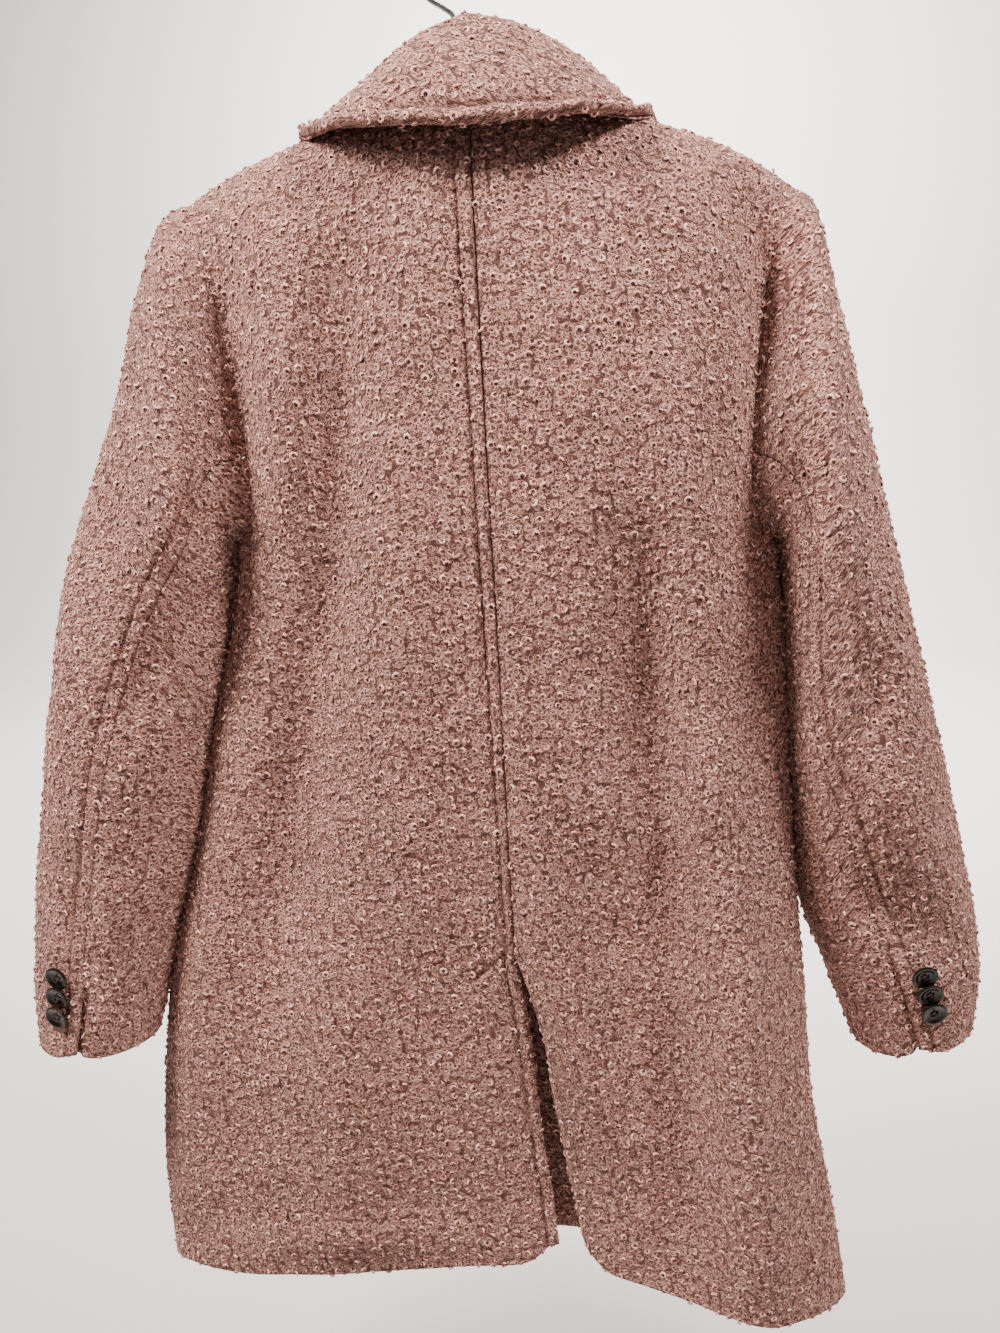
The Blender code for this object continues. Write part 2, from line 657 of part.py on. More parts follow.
def make_back(sign, cloth):
    """A back panel. The right one carries the vent's underlap."""
    u, v = grid(np.linspace(0, 1, BACK_COLUMNS + 1), panel_rows(sign))

    def point(a, b):
        return back_point(sign, a, b)

    outer = point(u, v)
    facing = square_rims(normals(point, u, v, (0, 1, 0)), outer, sign)
    if sign > 0:
        return wall("back_left", outer, outer - facing * CLOTH, cloth)
    fold = outer[:, :1]
    down = (HIGH_POINT_Z - fold[..., 2] + HANG_SLOPE * (fold[..., 0] - COAT_X))
    inset = vent("inset", down)
    reach = UNDERLAP + COAT_X - fold[..., 0]
    under = [np.stack([fold[..., 0] + FOLD_STEP + (reach - FOLD_STEP) * share,
                       fold[..., 1] - inset, fold[..., 2]], axis=-1)
             for share in UNDERLAP_SHARES]
    outer = np.concatenate(under + [outer], axis=1)
    back = np.broadcast_to(np.array([0.0, 1.0, 0.0]), under[0].shape)
    facing = np.concatenate([back] * len(under) + [facing], axis=1)
    used = np.ones((outer.shape[0] - 1, outer.shape[1] - 1), bool)
    vent_row = int(np.argmin(np.abs(down[:, 0] - UNDERLAP_TOP)))
    used[:vent_row, : len(under)] = False
    return wall("back_right", outer, outer - facing * CLOTH, cloth, used)


def make_front(sign, name, cloth):
    u, v = grid(np.linspace(0, 1, FRONT_COLUMNS + 1), panel_rows(sign))

    def point(a, b):
        return front_point(sign, a, b)

    outer = point(u, v)
    facing = square_rims(normals(point, u, v, (0, -1, 0)), outer, sign)
    return wall(name, outer, outer - facing * CLOTH, cloth)


def body_normal_at_armhole(sign, angle):
    """The body's normal at its armhole, so that sleeve and body meet edge to edge."""
    down = armhole_down(sign, angle)
    face = np.where(np.sin(angle) >= -SMALLEST, 1, -1)
    out = side_edge(sign, down)
    step = NORMAL_STEP

    def at(o, d):
        x = sign * o
        return placed(x, np.where(face > 0, depth(1, x, d), depth(-1, x, d)), d)

    along = at(out, down) - at(out - step, down)
    fall = at(out - step, down + step) - at(out - step, down)
    cross = np.cross(along, fall) * (face * sign)[..., None]
    return -cross / np.linalg.norm(cross, axis=-1, keepdims=True)


def make_sleeve(side, top, cloth):
    columns = TOP_COLUMNS if top else UNDER_COLUMNS
    u, v = grid(np.linspace(0, 1, columns + 1), np.linspace(0, 1, SLEEVE_ROWS + 1))
    ring, angle = sleeve_place(side, top, u, v)
    outer = sleeve_point(side, ring, angle)
    facing = sleeve_normal(side, ring, angle)
    facing[0] = body_normal_at_armhole(SLEEVE_SIGN[side], angle[0])
    name = f"sleeve_{side}_{'top' if top else 'under'}"
    return wall(name, outer, outer - facing * CLOTH, cloth)


def make_collar(cloth):
    at, across = grid(np.linspace(-1, 1, COLLAR_STEPS + 1), COLLAR_ACROSS)

    def point(a, b):
        return collar_point(2 * a - 1, b)

    outer = collar_point(at, across)
    facing = normals(point, (at + 1) / 2, across, (0, 1, 0))
    middle = facing[facing.shape[0] - 2, facing.shape[1] // 2]
    if middle[1] < 0:
        facing = -facing
    return wall("collar", outer, outer - facing * COLLAR_CLOTH, cloth)


def make_lapel(sign, name, cloth):
    u, v = grid(np.linspace(0, 1, LAPEL_STEPS + 1), np.linspace(0, 1, LAPEL_ROWS + 1))

    def point(a, b):
        return lapel_point(sign, a, b)

    outer = point(u, v)
    facing = normals(point, u, v, (0, -1, 0))
    return wall(name, outer, outer - facing * CLOTH, cloth)


def make_button(name, size, centre, facing, horn):
    """A turned horn button with a rolled rim, its back at the centre point."""
    radius, thick = size
    mesh = bpy.data.meshes.new(name)
    edges = [(i, i + 1) for i in range(len(BUTTON_PROFILE) - 1)]
    mesh.from_pydata([(r * radius, 0, z * thick) for r, z in BUTTON_PROFILE], edges, [])
    mesh.materials.append(horn)
    button = bpy.data.objects.new(name, mesh)
    COAT.objects.link(button)
    turn = button.modifiers.new("turn", "SCREW")
    turn.steps = turn.render_steps = BUTTON_SIDES
    turn.use_merge_vertices = True
    turn.merge_threshold = MERGE_DISTANCE
    turn.use_normal_calculate = True
    button.location = centre
    button.rotation_mode = "QUATERNION"
    button.rotation_quaternion = Vector(facing).to_track_quat("Z", "Y")
    return button


def make_front_buttons(horn):
    for row, drop in enumerate(FRONT_BUTTON_DROPS, 1):
        for side, sign in (("left", 1), ("right", -1)):
            x = np.array(sign * FRONT_BUTTON_OUT)
            down = np.array(drop)
            y = depth(-1, x, down) - BUTTON_SHANK
            tilt = (depth(-1, x + SLOPE_STEP, down) - depth(-1, x - SLOPE_STEP, down)) / (2 * SLOPE_STEP)
            facing = np.array([float(tilt), -1.0, 0.0])
            centre = placed(x, y, down) + facing * FRONT_BUTTON_LIFT
            make_button(f"front_button_{side}_{row}", FRONT_BUTTON, centre, facing, horn)


def make_cuff_buttons(side, horn):
    """Three overlapping buttons beside the cuff's vent, each tilted to lie on the one above."""
    last = len(SLEEVES[side]) - 1
    rings = last - np.linspace(0, CUFF_BUTTON_REACH, SECTION_SAMPLES)
    seams = sleeve_column(side, "back_seam", rings)
    line = sleeve_point(side, rings, np.radians(seams - CUFF_BUTTON_FROM_SEAM[side]))
    run = np.concatenate([[0], np.cumsum(np.linalg.norm(np.diff(line, axis=0), axis=1))])
    for number, step in enumerate(CUFF_BUTTON_STEPS, 1):
        ring = np.interp(step, run, rings)
        seam = sleeve_column(side, "back_seam", ring)
        angle = np.radians(seam - CUFF_BUTTON_FROM_SEAM[side])
        here = sleeve_point(side, ring, angle)
        down = sleeve_point(side, ring + RING_STEP, angle) - here
        round_it = sleeve_point(side, ring, angle + RING_STEP) - here
        facing = np.cross(round_it, down)
        facing /= np.linalg.norm(facing)
        if facing[1] < 0:
            facing = -facing
        down /= np.linalg.norm(down)
        tilted = facing * math.cos(CUFF_BUTTON_TILT) + down * math.sin(CUFF_BUTTON_TILT)
        lift = BUTTON_BACK_SHARE * CUFF_BUTTON[0] * math.sin(CUFF_BUTTON_TILT) + CUFF_BUTTON_SHANK
        make_button(f"cuff_button_{side}_{number}", CUFF_BUTTON, here + facing * lift, tilted, horn)


def bar_down(x):
    """The hanger's bar lies just under the shoulders' ridge."""
    level = np.maximum(ridge_down(x), ridge_down(BAR_LEVEL_HALF) - BAR_NECK_RISE)
    return level + CLOTH + BAR_RADIUS + BAR_GAP


def make_tube(name, points, radius, sides_level, finish):
    path = bpy.data.curves.new(name, "CURVE")
    path.dimensions = "3D"
    path.bevel_depth = radius
    path.bevel_resolution = sides_level
    path.use_fill_caps = True
    line = path.splines.new("POLY")
    line.points.add(len(points) - 1)
    for place, point in zip(line.points, points, strict=True):
        place.co = (*point, 1)
    path.materials.append(finish)
    tube = bpy.data.objects.new(name, path)
    COAT.objects.link(tube)
    return tube


def make_hanger(chrome, wood):
    """A plain round bar bent to the shoulders and a wire hook."""
    outs = np.linspace(-BAR_HALF, BAR_HALF, BAR_STEPS)
    x = outs - COAT_X
    bar = placed(x, 0 * x, bar_down(x))
    make_tube("hanger_bar", bar.tolist(), BAR_RADIUS, 3, wood)
    foot = float(np.interp(0, bar[:, 0], bar[:, 2])) + BAR_RADIUS + STEM_FOOT_LIFT
    centre_z = -HOOK_RADIUS + WIRE_RADIUS
    stem = [(0, 0, foot), (0, 0, (foot + centre_z - STEM_RISES[0][1]) / 2)]
    stem += [(x, 0, centre_z - below) for x, below in STEM_RISES]
    turns = np.radians(np.linspace(*HOOK_TURN, HOOK_STEPS))
    loop = [(HOOK_RADIUS * math.cos(t), 0, centre_z + HOOK_RADIUS * math.sin(t)) for t in turns]
    make_tube("hanger_hook", stem + loop, WIRE_RADIUS, 2, chrome)


def clear_scene():
    for obj in list(bpy.data.objects):
        bpy.data.objects.remove(obj, do_unlink=True)


clear_scene()
COAT = bpy.data.collections.new("pea_coat_on_hanger")
bpy.context.scene.collection.children.link(COAT)


def main():
    pink = material("pink_looped_wool", (0.46, 0.24, 0.21), 0.95)
    horn = material("dark_horn", (0.03, 0.018, 0.012), 0.25)
    chrome = material("chrome_wire", (0.75, 0.75, 0.76), 0.15, 1.0)
    wood = material("plain_wood", (0.45, 0.28, 0.14), 0.5)
    make_back(1, pink)
    make_back(-1, pink)
    make_front(1, "front_left", pink)
    make_front(-1, "front_right", pink)
    make_lapel(1, "lapel_left", pink)
    make_lapel(-1, "lapel_right", pink)
    make_collar(pink)
    for side in SLEEVES:
        make_sleeve(side, True, pink)
        make_sleeve(side, False, pink)
        make_cuff_buttons(side, horn)
    make_front_buttons(horn)
    make_hanger(chrome, wood)


main()
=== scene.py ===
"""The finish of a pink looped-wool pea coat that hangs, buttoned up, on a clothes hanger.

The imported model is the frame. Each cloth piece is built again here from the coat's own cutting
measures, finer than its solid: a shell with rolled edges, topstitched seams and soft creases,
covered with small wool loops. Measures are in metres; "down" runs from the high shoulder point.
"""

import math

import bmesh
import bpy
import numpy as np
from mathutils import Matrix, Vector


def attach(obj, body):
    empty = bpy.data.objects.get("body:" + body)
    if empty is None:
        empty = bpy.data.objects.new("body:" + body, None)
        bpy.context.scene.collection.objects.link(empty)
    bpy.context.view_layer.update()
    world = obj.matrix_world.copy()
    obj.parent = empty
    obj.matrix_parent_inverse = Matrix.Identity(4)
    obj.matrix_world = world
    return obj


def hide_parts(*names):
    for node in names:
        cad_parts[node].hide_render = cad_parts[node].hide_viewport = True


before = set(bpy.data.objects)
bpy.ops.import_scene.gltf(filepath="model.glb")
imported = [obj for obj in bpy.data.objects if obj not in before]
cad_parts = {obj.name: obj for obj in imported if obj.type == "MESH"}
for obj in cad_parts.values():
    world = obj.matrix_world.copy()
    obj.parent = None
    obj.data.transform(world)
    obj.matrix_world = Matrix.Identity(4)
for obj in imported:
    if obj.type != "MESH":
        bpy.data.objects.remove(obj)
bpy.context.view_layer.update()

# Thickness of the cloth, of turned hems, of the lapels and of the collar with its thicker rim
CLOTH = 0.003
HEM_CLOTH = 0.0056
CUFF_HEM_CLOTH = 0.005
LAPEL_CLOTH = 0.0034
COLLAR_CLOTH = 0.004
COLLAR_RIM_CLOTH = 0.004

# A length too small to matter, and rounds of finding a panel's top on the shoulder's ridge
SMALLEST = 1e-7
RIDGE_ROUNDS = 12

# Where the coat hangs: its centre back from the hook, its high shoulder point below the
# hook's bearing point, and the slope of the hanger, lower on the wearer's right
COAT_X = -0.0106
HIGH_POINT_Z = -0.1075
HANG_SLOPE = 0.042

# Neck, shoulder and armhole
NECK_HALF = 0.068
NECK_DROP = 0.015
SHOULDER_HALF = 0.197
UNDERARM_DROP = 0.274
SHOULDER_ROUND = 0.075
SECTION_POWER = 0.8

# Fronts: how far each laps past the centre, where the lapel breaks, and how far the front
# that lies underneath is set in
LAP = 0.075
BREAK_DROP = 0.225
UNDER_INSET = 0.0085
UNDER_FADE = (0.085, 0.135)
UNDER_START = (0.030, 0.100)

# Hem heights, down from the high shoulder point
HEM_BACK_LEFT = 0.823
HEM_BACK_RIGHT = 0.820
HEM_SIDE_LEFT = 0.850
HEM_SIDE_RIGHT = 0.836
HEM_FRONT = 0.832

# Centre-back vent: its top, where the seam above it stops lapping, its underlap's top and far
# edge, and how high and wide the flaps' corners lift
VENT_TOP = 0.569
SEAM_LAP_END = 0.557
UNDERLAP_TOP = 0.581
UNDERLAP = 0.034
VENT_CORNER = (0.020, 0.016)
BACK_WIDTH = 0.28

# The body's level sections: half widths, the centre depths, the side seams' depths and how
# far the back swells between them
BODY_COLUMNS = ("down", "left", "right", "back", "front",
                "seam_left", "seam_right", "swell_left", "swell_right")
BODY = [
    (-0.03, 0.215, 0.215, 0.047, -0.046, 0.000, 0.000, 0.000, 0.000),
    (0.05, 0.211, 0.210, 0.051, -0.052, 0.000, 0.000, 0.000, 0.000),
    (0.14, 0.205, 0.204, 0.055, -0.058, 0.000, 0.000, 0.002, 0.002),
    (0.23, 0.196, 0.195, 0.056, -0.062, 0.000, 0.000, 0.003, 0.001),
    (0.274, 0.187, 0.1870, 0.056, -0.063, 0.000, 0.000, 0.003, 0.000),
    (0.33, 0.197, 0.1926, 0.055, -0.063, 0.001, 0.000, 0.003, -0.002),
    (0.38, 0.2120, 0.1936, 0.053, -0.062, 0.003, 0.001, 0.003, -0.003),
    (0.43, 0.2253, 0.1948, 0.052, -0.061, 0.005, 0.002, 0.003, 0.000),
    (0.53, 0.2520, 0.2000, 0.051, -0.058, 0.010, 0.006, 0.005, 0.006),
    (0.59, 0.2705, 0.2040, 0.050, -0.056, 0.014, 0.012, 0.007, 0.012),
    (0.68, 0.286, 0.209, 0.049, -0.053, 0.020, 0.020, 0.010, 0.020),
    (0.76, 0.294, 0.222, 0.047, -0.050, 0.026, 0.028, 0.013, 0.027),
    (0.85, 0.293, 0.234, 0.045, -0.047, 0.032, 0.034, 0.015, 0.032),
]

# The shoulder's ridge, as seen from the back
RIDGE_COLUMNS = ("out", "left", "right")
RIDGE = [
    (-0.068, 0.000, 0.000),
    (0.000, -0.015, -0.015),
    (0.068, 0.000, 0.000),
    (0.120, 0.0155, 0.0160),
    (0.165, 0.0315, 0.0340),
    (0.197, 0.0480, 0.0545),
    (0.230, 0.0720, 0.0820),
]

# The armhole, as seen from the back
ARMHOLE_COLUMNS = ("down", "out")
ARMHOLE = [
    (-0.030, 0.197),
    (0.048, 0.197),
    (0.080, 0.188),
    (0.112, 0.1815),
    (0.168, 0.1735),
    (0.210, 0.1695),
    (0.240, 0.1690),
    (0.262, 0.1755),
    (0.274, 0.1865),
]

# The vent: the left flap's edge and the right flap's fold
VENT_COLUMNS = ("down", "edge", "fold")
VENT = [
    (0.569, 0.0000, -0.0002),
    (0.581, -0.0015, -0.0035),
    (0.610, -0.0055, -0.0100),
    (0.690, -0.0112, -0.0200),
    (0.780, -0.0185, -0.0330),
    (0.850, -0.0225, -0.0430),
]

# The sleeves: for each ring its outer and inner point, its middle depth and half depth, and
# the angles of its back and front seams, from the outer point round the back
SLEEVE_COLUMNS = ("outer_out", "outer_down", "inner_out", "inner_down", "middle", "half",
                  "back_seam", "front_seam")
SLEEVES = {
    "left": [
        (0.1970, 0.048, 0.1870, 0.274, 0.000, 0.045, 120, 240),
        (0.2185, 0.058, 0.1890, 0.277, 0.000, 0.053, 121, 246),
        (0.2360, 0.098, 0.1910, 0.281, 0.002, 0.056, 124, 250),
        (0.2510, 0.150, 0.1930, 0.287, 0.005, 0.057, 127, 253),
        (0.2720, 0.206, 0.1955, 0.299, 0.008, 0.057, 126, 255),
        (0.3010, 0.268, 0.2030, 0.327, 0.010, 0.056, 118, 256),
        (0.3264, 0.348, 0.2155, 0.384, 0.014, 0.054, 104, 257),
        (0.3410, 0.409, 0.2285, 0.438, 0.017, 0.051, 98, 258),
        (0.3537, 0.4705, 0.2440, 0.497, 0.020, 0.048, 96, 258),
        (0.3660, 0.540, 0.2660, 0.565, 0.025, 0.045, 96, 258),
        (0.3735, 0.606, 0.2790, 0.618, 0.030, 0.043, 99, 258),
        (0.3755, 0.655, 0.2855, 0.653, 0.033, 0.042, 94, 258),
    ],
    "right": [
        (0.1970, 0.0545, 0.1860, 0.274, 0.000, 0.045, 120, 240),
        (0.2120, 0.066, 0.1880, 0.277, 0.000, 0.052, 122, 246),
        (0.2205, 0.104, 0.1895, 0.281, 0.000, 0.056, 127, 250),
        (0.2300, 0.146, 0.1910, 0.290, 0.002, 0.058, 132, 253),
        (0.2410, 0.194, 0.1925, 0.305, 0.004, 0.059, 137, 255),
        (0.2540, 0.247, 0.1935, 0.325, 0.004, 0.059, 141, 256),
        (0.2721, 0.319, 0.1945, 0.365, 0.001, 0.058, 142, 257),
        (0.2870, 0.375, 0.1950, 0.418, -0.003, 0.056, 136, 258),
        (0.3010, 0.430, 0.1985, 0.468, -0.006, 0.053, 121, 258),
        (0.3180, 0.505, 0.2030, 0.532, -0.010, 0.049, 109, 258),
        (0.3310, 0.575, 0.2220, 0.590, -0.013, 0.046, 101, 258),
        (0.3290, 0.631, 0.2450, 0.652, -0.015, 0.044, 97, 258),
    ],
}
SIGNS = {"left": 1, "right": -1}
CAP_RINGS = 3.0
SEAM_ANGLE = 0.0035
CUFF_LIFT = 0.12
CUFF_LIFT_WIDTH = 14.0

# The collar: for each place from the centre back to the front end, its roll line, its leaf
# edge, the radius of the roll and the way it faces, in degrees from straight back
COLLAR_COLUMNS = ("at", "roll_x", "roll_y", "roll_down", "leaf_x", "leaf_y", "leaf_down",
                  "roll_radius", "turn")
COLLAR = [
    (0.00, 0.000, 0.037, -0.0460, 0.000, 0.0680, 0.0295, 0.0070, 0),
    (0.20, 0.030, 0.033, -0.0400, 0.042, 0.0660, 0.0270, 0.0070, 32),
    (0.40, 0.058, 0.017, -0.0300, 0.081, 0.0580, 0.0225, 0.0070, 62),
    (0.60, 0.076, -0.008, -0.0205, 0.109, 0.0280, 0.0160, 0.0065, 92),
    (0.75, 0.079, -0.030, -0.0080, 0.123, -0.0050, 0.0085, 0.0060, 110),
    (0.88, 0.070, -0.049, 0.0130, 0.130, -0.0400, 0.0330, 0.0055, 128),
    (1.00, 0.056, -0.0585, 0.0350, 0.120, -0.0600, 0.0660, 0.0050, 140),
]
RIGHT_LEAF_SHARE = 0.93
COLLAR_LEAN = 0.0055
COLLAR_LEAN_REACH = 0.8
STAND_LIFT = 0.0008
STAND_INSET = 0.003
FRONT_STAND_INSET = 0.0036
FRONT_STAND_LIFT = 0.0140
FRONT_STAND = (0.45, 0.62)
NECK_END_DROP = 0.035
COLLAR_SHOULDER = 0.6
STAND_SHARE = 0.30
ROLL_SHARE = 0.42
LEAF_BELLY = 0.006

# Lapels, seen from the front: outline from the break up the roll line, and from the break
# up the outer edge; each row is one level across the lapel
LAPEL_COLUMNS = ("down", "outer")
LAPEL = [
    (0.225, -0.0740),
    (0.200, -0.0350),
    (0.165, 0.0200),
    (0.130, 0.0720),
    (0.105, 0.1080),
    (0.088, 0.1320),
]
LAPEL_TOP_INNER_DROP = 0.048
LAPEL_OFFSET = 0.0039
LAPEL_END_GAP = 0.001
LAPEL_ROLL_GAP = 0.0005
LAPEL_LEAST = 0.002

# Buttons: radius and thickness
FRONT_BUTTON = (0.0125, 0.0040)
CUFF_BUTTON = (0.0092, 0.0028)

# Hanger
HOOK_RADIUS = 0.024
WIRE_RADIUS = 0.0016
BAR_RADIUS = 0.006
BAR_HALF = 0.176
BAR_LEVEL_HALF = 0.05
BAR_NECK_RISE = 0.004
BAR_GAP = 0.0020

# Points along half a section
SECTION_SAMPLES = 48

# Where the body's creases run out: above the underarm, by the side seam and by the ridge
UNDERARM_FADE = 0.06
SIDE_FADE = 0.022
RIDGE_FADE = 0.030


def side_of(sign):
    return "left" if sign > 0 else "right"


def column(table, names, name):
    """One named column of a table."""
    return np.array([row[names.index(name)] for row in table], float)


def smooth(xs, ys, at):
    """A curve through the points (xs, ys), read at the given places."""
    at = np.clip(at, xs[0], xs[-1])
    slopes = np.gradient(ys, xs)
    i = np.clip(np.searchsorted(xs, at, side="right") - 1, 0, len(xs) - 2)
    step = xs[i + 1] - xs[i]
    t = (at - xs[i]) / step
    rise = 3 * t**2 - 2 * t**3
    return (ys[i] * (1 - rise) + ys[i + 1] * rise
            + step * slopes[i] * t * (1 - t) ** 2 - step * slopes[i + 1] * t**2 * (1 - t))


def read(table, names, name, at):
    """A column of a table at these values of its first one."""
    return smooth(column(table, names, names[0]), column(table, names, name), at)


def body(name, down):
    return read(BODY, BODY_COLUMNS, name, down)


def body_side(name, x, down):
    """A left and right pair of columns, each on its own side."""
    return np.where(x >= 0, body(name + "_left", down), body(name + "_right", down))


def half_width(x, down):
    return np.where(x >= 0, body("left", down), body("right", down))


def ridge_down(x):
    """How far down the shoulder's ridge lies at a distance from the centre back."""
    left, right = (read(RIDGE, RIDGE_COLUMNS, name, np.abs(x)) for name in SIGNS)
    return np.where(x >= 0, left, right)


def armhole_down(sign, angle):
    """How far down a point of the armhole lies, at an angle from the shoulder."""
    shoulder = ridge_down(sign * SHOULDER_HALF)
    return shoulder + (UNDERARM_DROP - shoulder) * (1 - np.cos(angle)) / 2


def armhole_out(down):
    return read(ARMHOLE, ARMHOLE_COLUMNS, "out", down)


def vent(name, down):
    return read(VENT, VENT_COLUMNS, name, down)


def fade(low, high, at):
    """0 below low, 1 above high, with soft ends."""
    t = np.clip((at - low) / (high - low), 0, 1)
    return t * t * (3 - 2 * t)


def plain_depth(face, x, down):
    """The body's outer face without its creases: its Y at a place seen from the front or back.
    face is 1 at the back and -1 at the front."""
    share = np.clip(np.abs(x) / half_width(x, down), 0, 1)
    across = np.sqrt(1 - share**2)
    centre = body("back" if face > 0 else "front", down)
    seam = body_side("seam", x, down)
    y = seam + (centre - seam) * across**SECTION_POWER
    if face > 0:
        y = y + body_side("swell", x, down) * 4 * (share * across) ** 2
    below = np.clip((down - ridge_down(x)) / SHOULDER_ROUND, 0, 1)
    return y * np.sqrt(1 - (1 - below) ** 2)


def depth(face, x, down):
    """The body's outer face with its creases, which run out at the side and shoulder seams."""
    low = fade(UNDERARM_DROP - UNDERARM_FADE, UNDERARM_DROP, down)
    aside = 1 - low * (1 - fade(0, SIDE_FADE, half_width(x, down) - np.abs(x)))
    share = aside * fade(0, RIDGE_FADE, down - ridge_down(x))
    return plain_depth(face, x, down) + face * body_relief(face, x, down) * share


def side_edge(sign, down):
    """How far out a body panel reaches: to the armhole, and below it to the side seam."""
    seam = body(side_of(sign), down)
    return np.where(down < UNDERARM_DROP, np.minimum(armhole_out(down), seam), seam)


def across_section(face, sign, inner, down, u):
    """x at the share u of the way round a section, from its inner edge to its side."""
    outer = side_edge(sign, down)
    steps = np.sin(np.linspace(0, math.pi / 2, SECTION_SAMPLES + 1))
    xs = sign * (inner[..., None] + (outer - inner)[..., None] * steps)
    ys = plain_depth(face, xs, np.broadcast_to(down[..., None], xs.shape))
    run = np.cumsum(np.hypot(np.diff(xs, axis=-1), np.diff(ys, axis=-1)), axis=-1)
    run = np.concatenate([np.zeros_like(run[..., :1]), run], axis=-1)
    goal = u * run[..., -1]
    i = np.clip((run <= goal[..., None]).sum(axis=-1) - 1, 0, SECTION_SAMPLES - 1)[..., None]
    low = np.take_along_axis(run, i, -1)[..., 0]
    high = np.take_along_axis(run, i + 1, -1)[..., 0]
    share = (goal - low) / np.maximum(high - low, SMALLEST)
    start = np.take_along_axis(xs, i, -1)[..., 0]
    return start + share * (np.take_along_axis(xs, i + 1, -1)[..., 0] - start)


def placed(x, y, down):
    """Coat measures to the world, with the hanger's slope."""
    return np.stack([x + COAT_X, y, HIGH_POINT_Z - down + HANG_SLOPE * x], axis=-1)


def coat_place(points):
    """How far points of the world lie from the centre back and down the coat."""
    x = points[..., 0] - COAT_X
    return x, HIGH_POINT_Z - points[..., 2] + HANG_SLOPE * x


def neckline_down(x):
    """The back's top edge: the neckline, then the shoulder's ridge."""
    neck = NECK_DROP * np.cos(np.clip(np.abs(x) / NECK_HALF, 0, 1) * math.pi / 2)
    return np.where(np.abs(x) < NECK_HALF, neck, ridge_down(x))


def above_vent(down):
    """1 where the centre-back seam is closed."""
    return 1 - fade(SEAM_LAP_END, VENT_TOP, down)


def back_inner(sign, down):
    """The centre-back edge of a back panel, as a distance towards its own side."""
    if sign > 0:
        return np.where(down > VENT_TOP, vent("edge", down), 0)
    return np.where(down > VENT_TOP, -vent("fold", down), 0) - CENTRE_LAP * above_vent(down)


def hem_side(sign):
    return HEM_SIDE_LEFT if sign > 0 else HEM_SIDE_RIGHT


def back_point(sign, u, v):
    """A point of a back panel: u from the centre back to the side, v from the top to the hem."""
    start = np.zeros(np.shape(u))
    out = u * SHOULDER_HALF
    for _ in range(RIDGE_ROUNDS):
        top = neckline_down(sign * out)
        out = np.abs(across_section(1, sign, start, top, u))
    centre = HEM_BACK_LEFT if sign > 0 else HEM_BACK_RIGHT
    hem = centre + (hem_side(sign) - centre) * u
    lift, width = VENT_CORNER
    hem = hem - lift * np.exp(-((u * BACK_WIDTH / width) ** 2))
    down = top + (hem - top) * v
    x = across_section(1, sign, back_inner(sign, down), down, u)
    return placed(x, depth(1, x, down), down)


def roll_line(down):
    """The front edge: level with the lap below the break, then the roll line up to the neck."""
    share = np.clip((BREAK_DROP - down) / BREAK_DROP, 0, 1)
    return -LAP + (NECK_HALF + LAP) * share


def under_inset(sign, x, down):
    """How far inwards the left front lies, where the right front laps over it."""
    if sign < 0:
        return np.zeros(np.shape(x))
    below = fade(*UNDER_START, down - ridge_down(x))
    return UNDER_INSET * (1 - fade(*UNDER_FADE, x)) * below


def front_point(sign, u, v):
    """A point of a front panel: u from the front edge to the side, v from the top to the hem."""
    top = ridge_down(sign * (NECK_HALF + u * (SHOULDER_HALF - NECK_HALF)))
    for _ in range(RIDGE_ROUNDS):
        top = ridge_down(across_section(-1, sign, roll_line(top), top, u))
    hem = HEM_FRONT + (hem_side(sign) - HEM_FRONT) * fade(0, 1, u)
    down = top + (hem - top) * v
    x = across_section(-1, sign, roll_line(down), down, u)
    return placed(x, depth(-1, x, down) + under_inset(sign, x, down), down)


def armhole_point(sign, angle):
    """A point of the armhole, at an angle from the shoulder round the back."""
    down = armhole_down(sign, angle)
    x = sign * side_edge(sign, down)
    y = np.where(np.sin(angle) >= 0, depth(1, x, down), depth(-1, x, down))
    return placed(x, y, down)


def sleeve_column(side, name, ring):
    values = column(SLEEVES[side], SLEEVE_COLUMNS, name)
    return smooth(np.arange(len(values), dtype=float), values, ring)


def sleeve_ring(side, ring, angle):
    """The plain oval of a sleeve at a ring number."""
    outer_out, outer_down, inner_out, inner_down, middle, half = (
        sleeve_column(side, name, ring) for name in SLEEVE_COLUMNS[:6])
    share = (1 + np.cos(angle)) / 2
    x = SIGNS[side] * (inner_out + (outer_out - inner_out) * share)
    down = inner_down + (outer_down - inner_down) * share
    return placed(x, middle + half * np.sin(angle), down)


def sleeve_point(side, ring, angle):
    """A point of a sleeve: its oval, drawn to the armhole over the first rings."""
    off = armhole_point(SIGNS[side], angle) - sleeve_ring(side, 0 * ring, angle)
    pull = np.clip(1 - ring / CAP_RINGS, 0, 1) ** 2
    return sleeve_ring(side, ring, angle) + off * pull[..., None]


def sleeve_place(side, top, u, v):
    """The ring and angle of a point of a top or under sleeve: u between its seams, v to the
    cuff."""
    ring = v * (len(SLEEVES[side]) - 1)
    back = np.radians(sleeve_column(side, "back_seam", ring))
    front = np.radians(sleeve_column(side, "front_seam", ring))
    start, end = (front - 2 * math.pi, back) if top else (back, front)
    angle = start + SEAM_ANGLE + (end - start - 2 * SEAM_ANGLE) * u
    near = np.degrees(angle - back) / CUFF_LIFT_WIDTH
    return ring - CUFF_LIFT * v**8 * np.exp(-(near**2)), angle


def collar_column(name, at):
    return read(COLLAR, COLLAR_COLUMNS, name, np.abs(at))


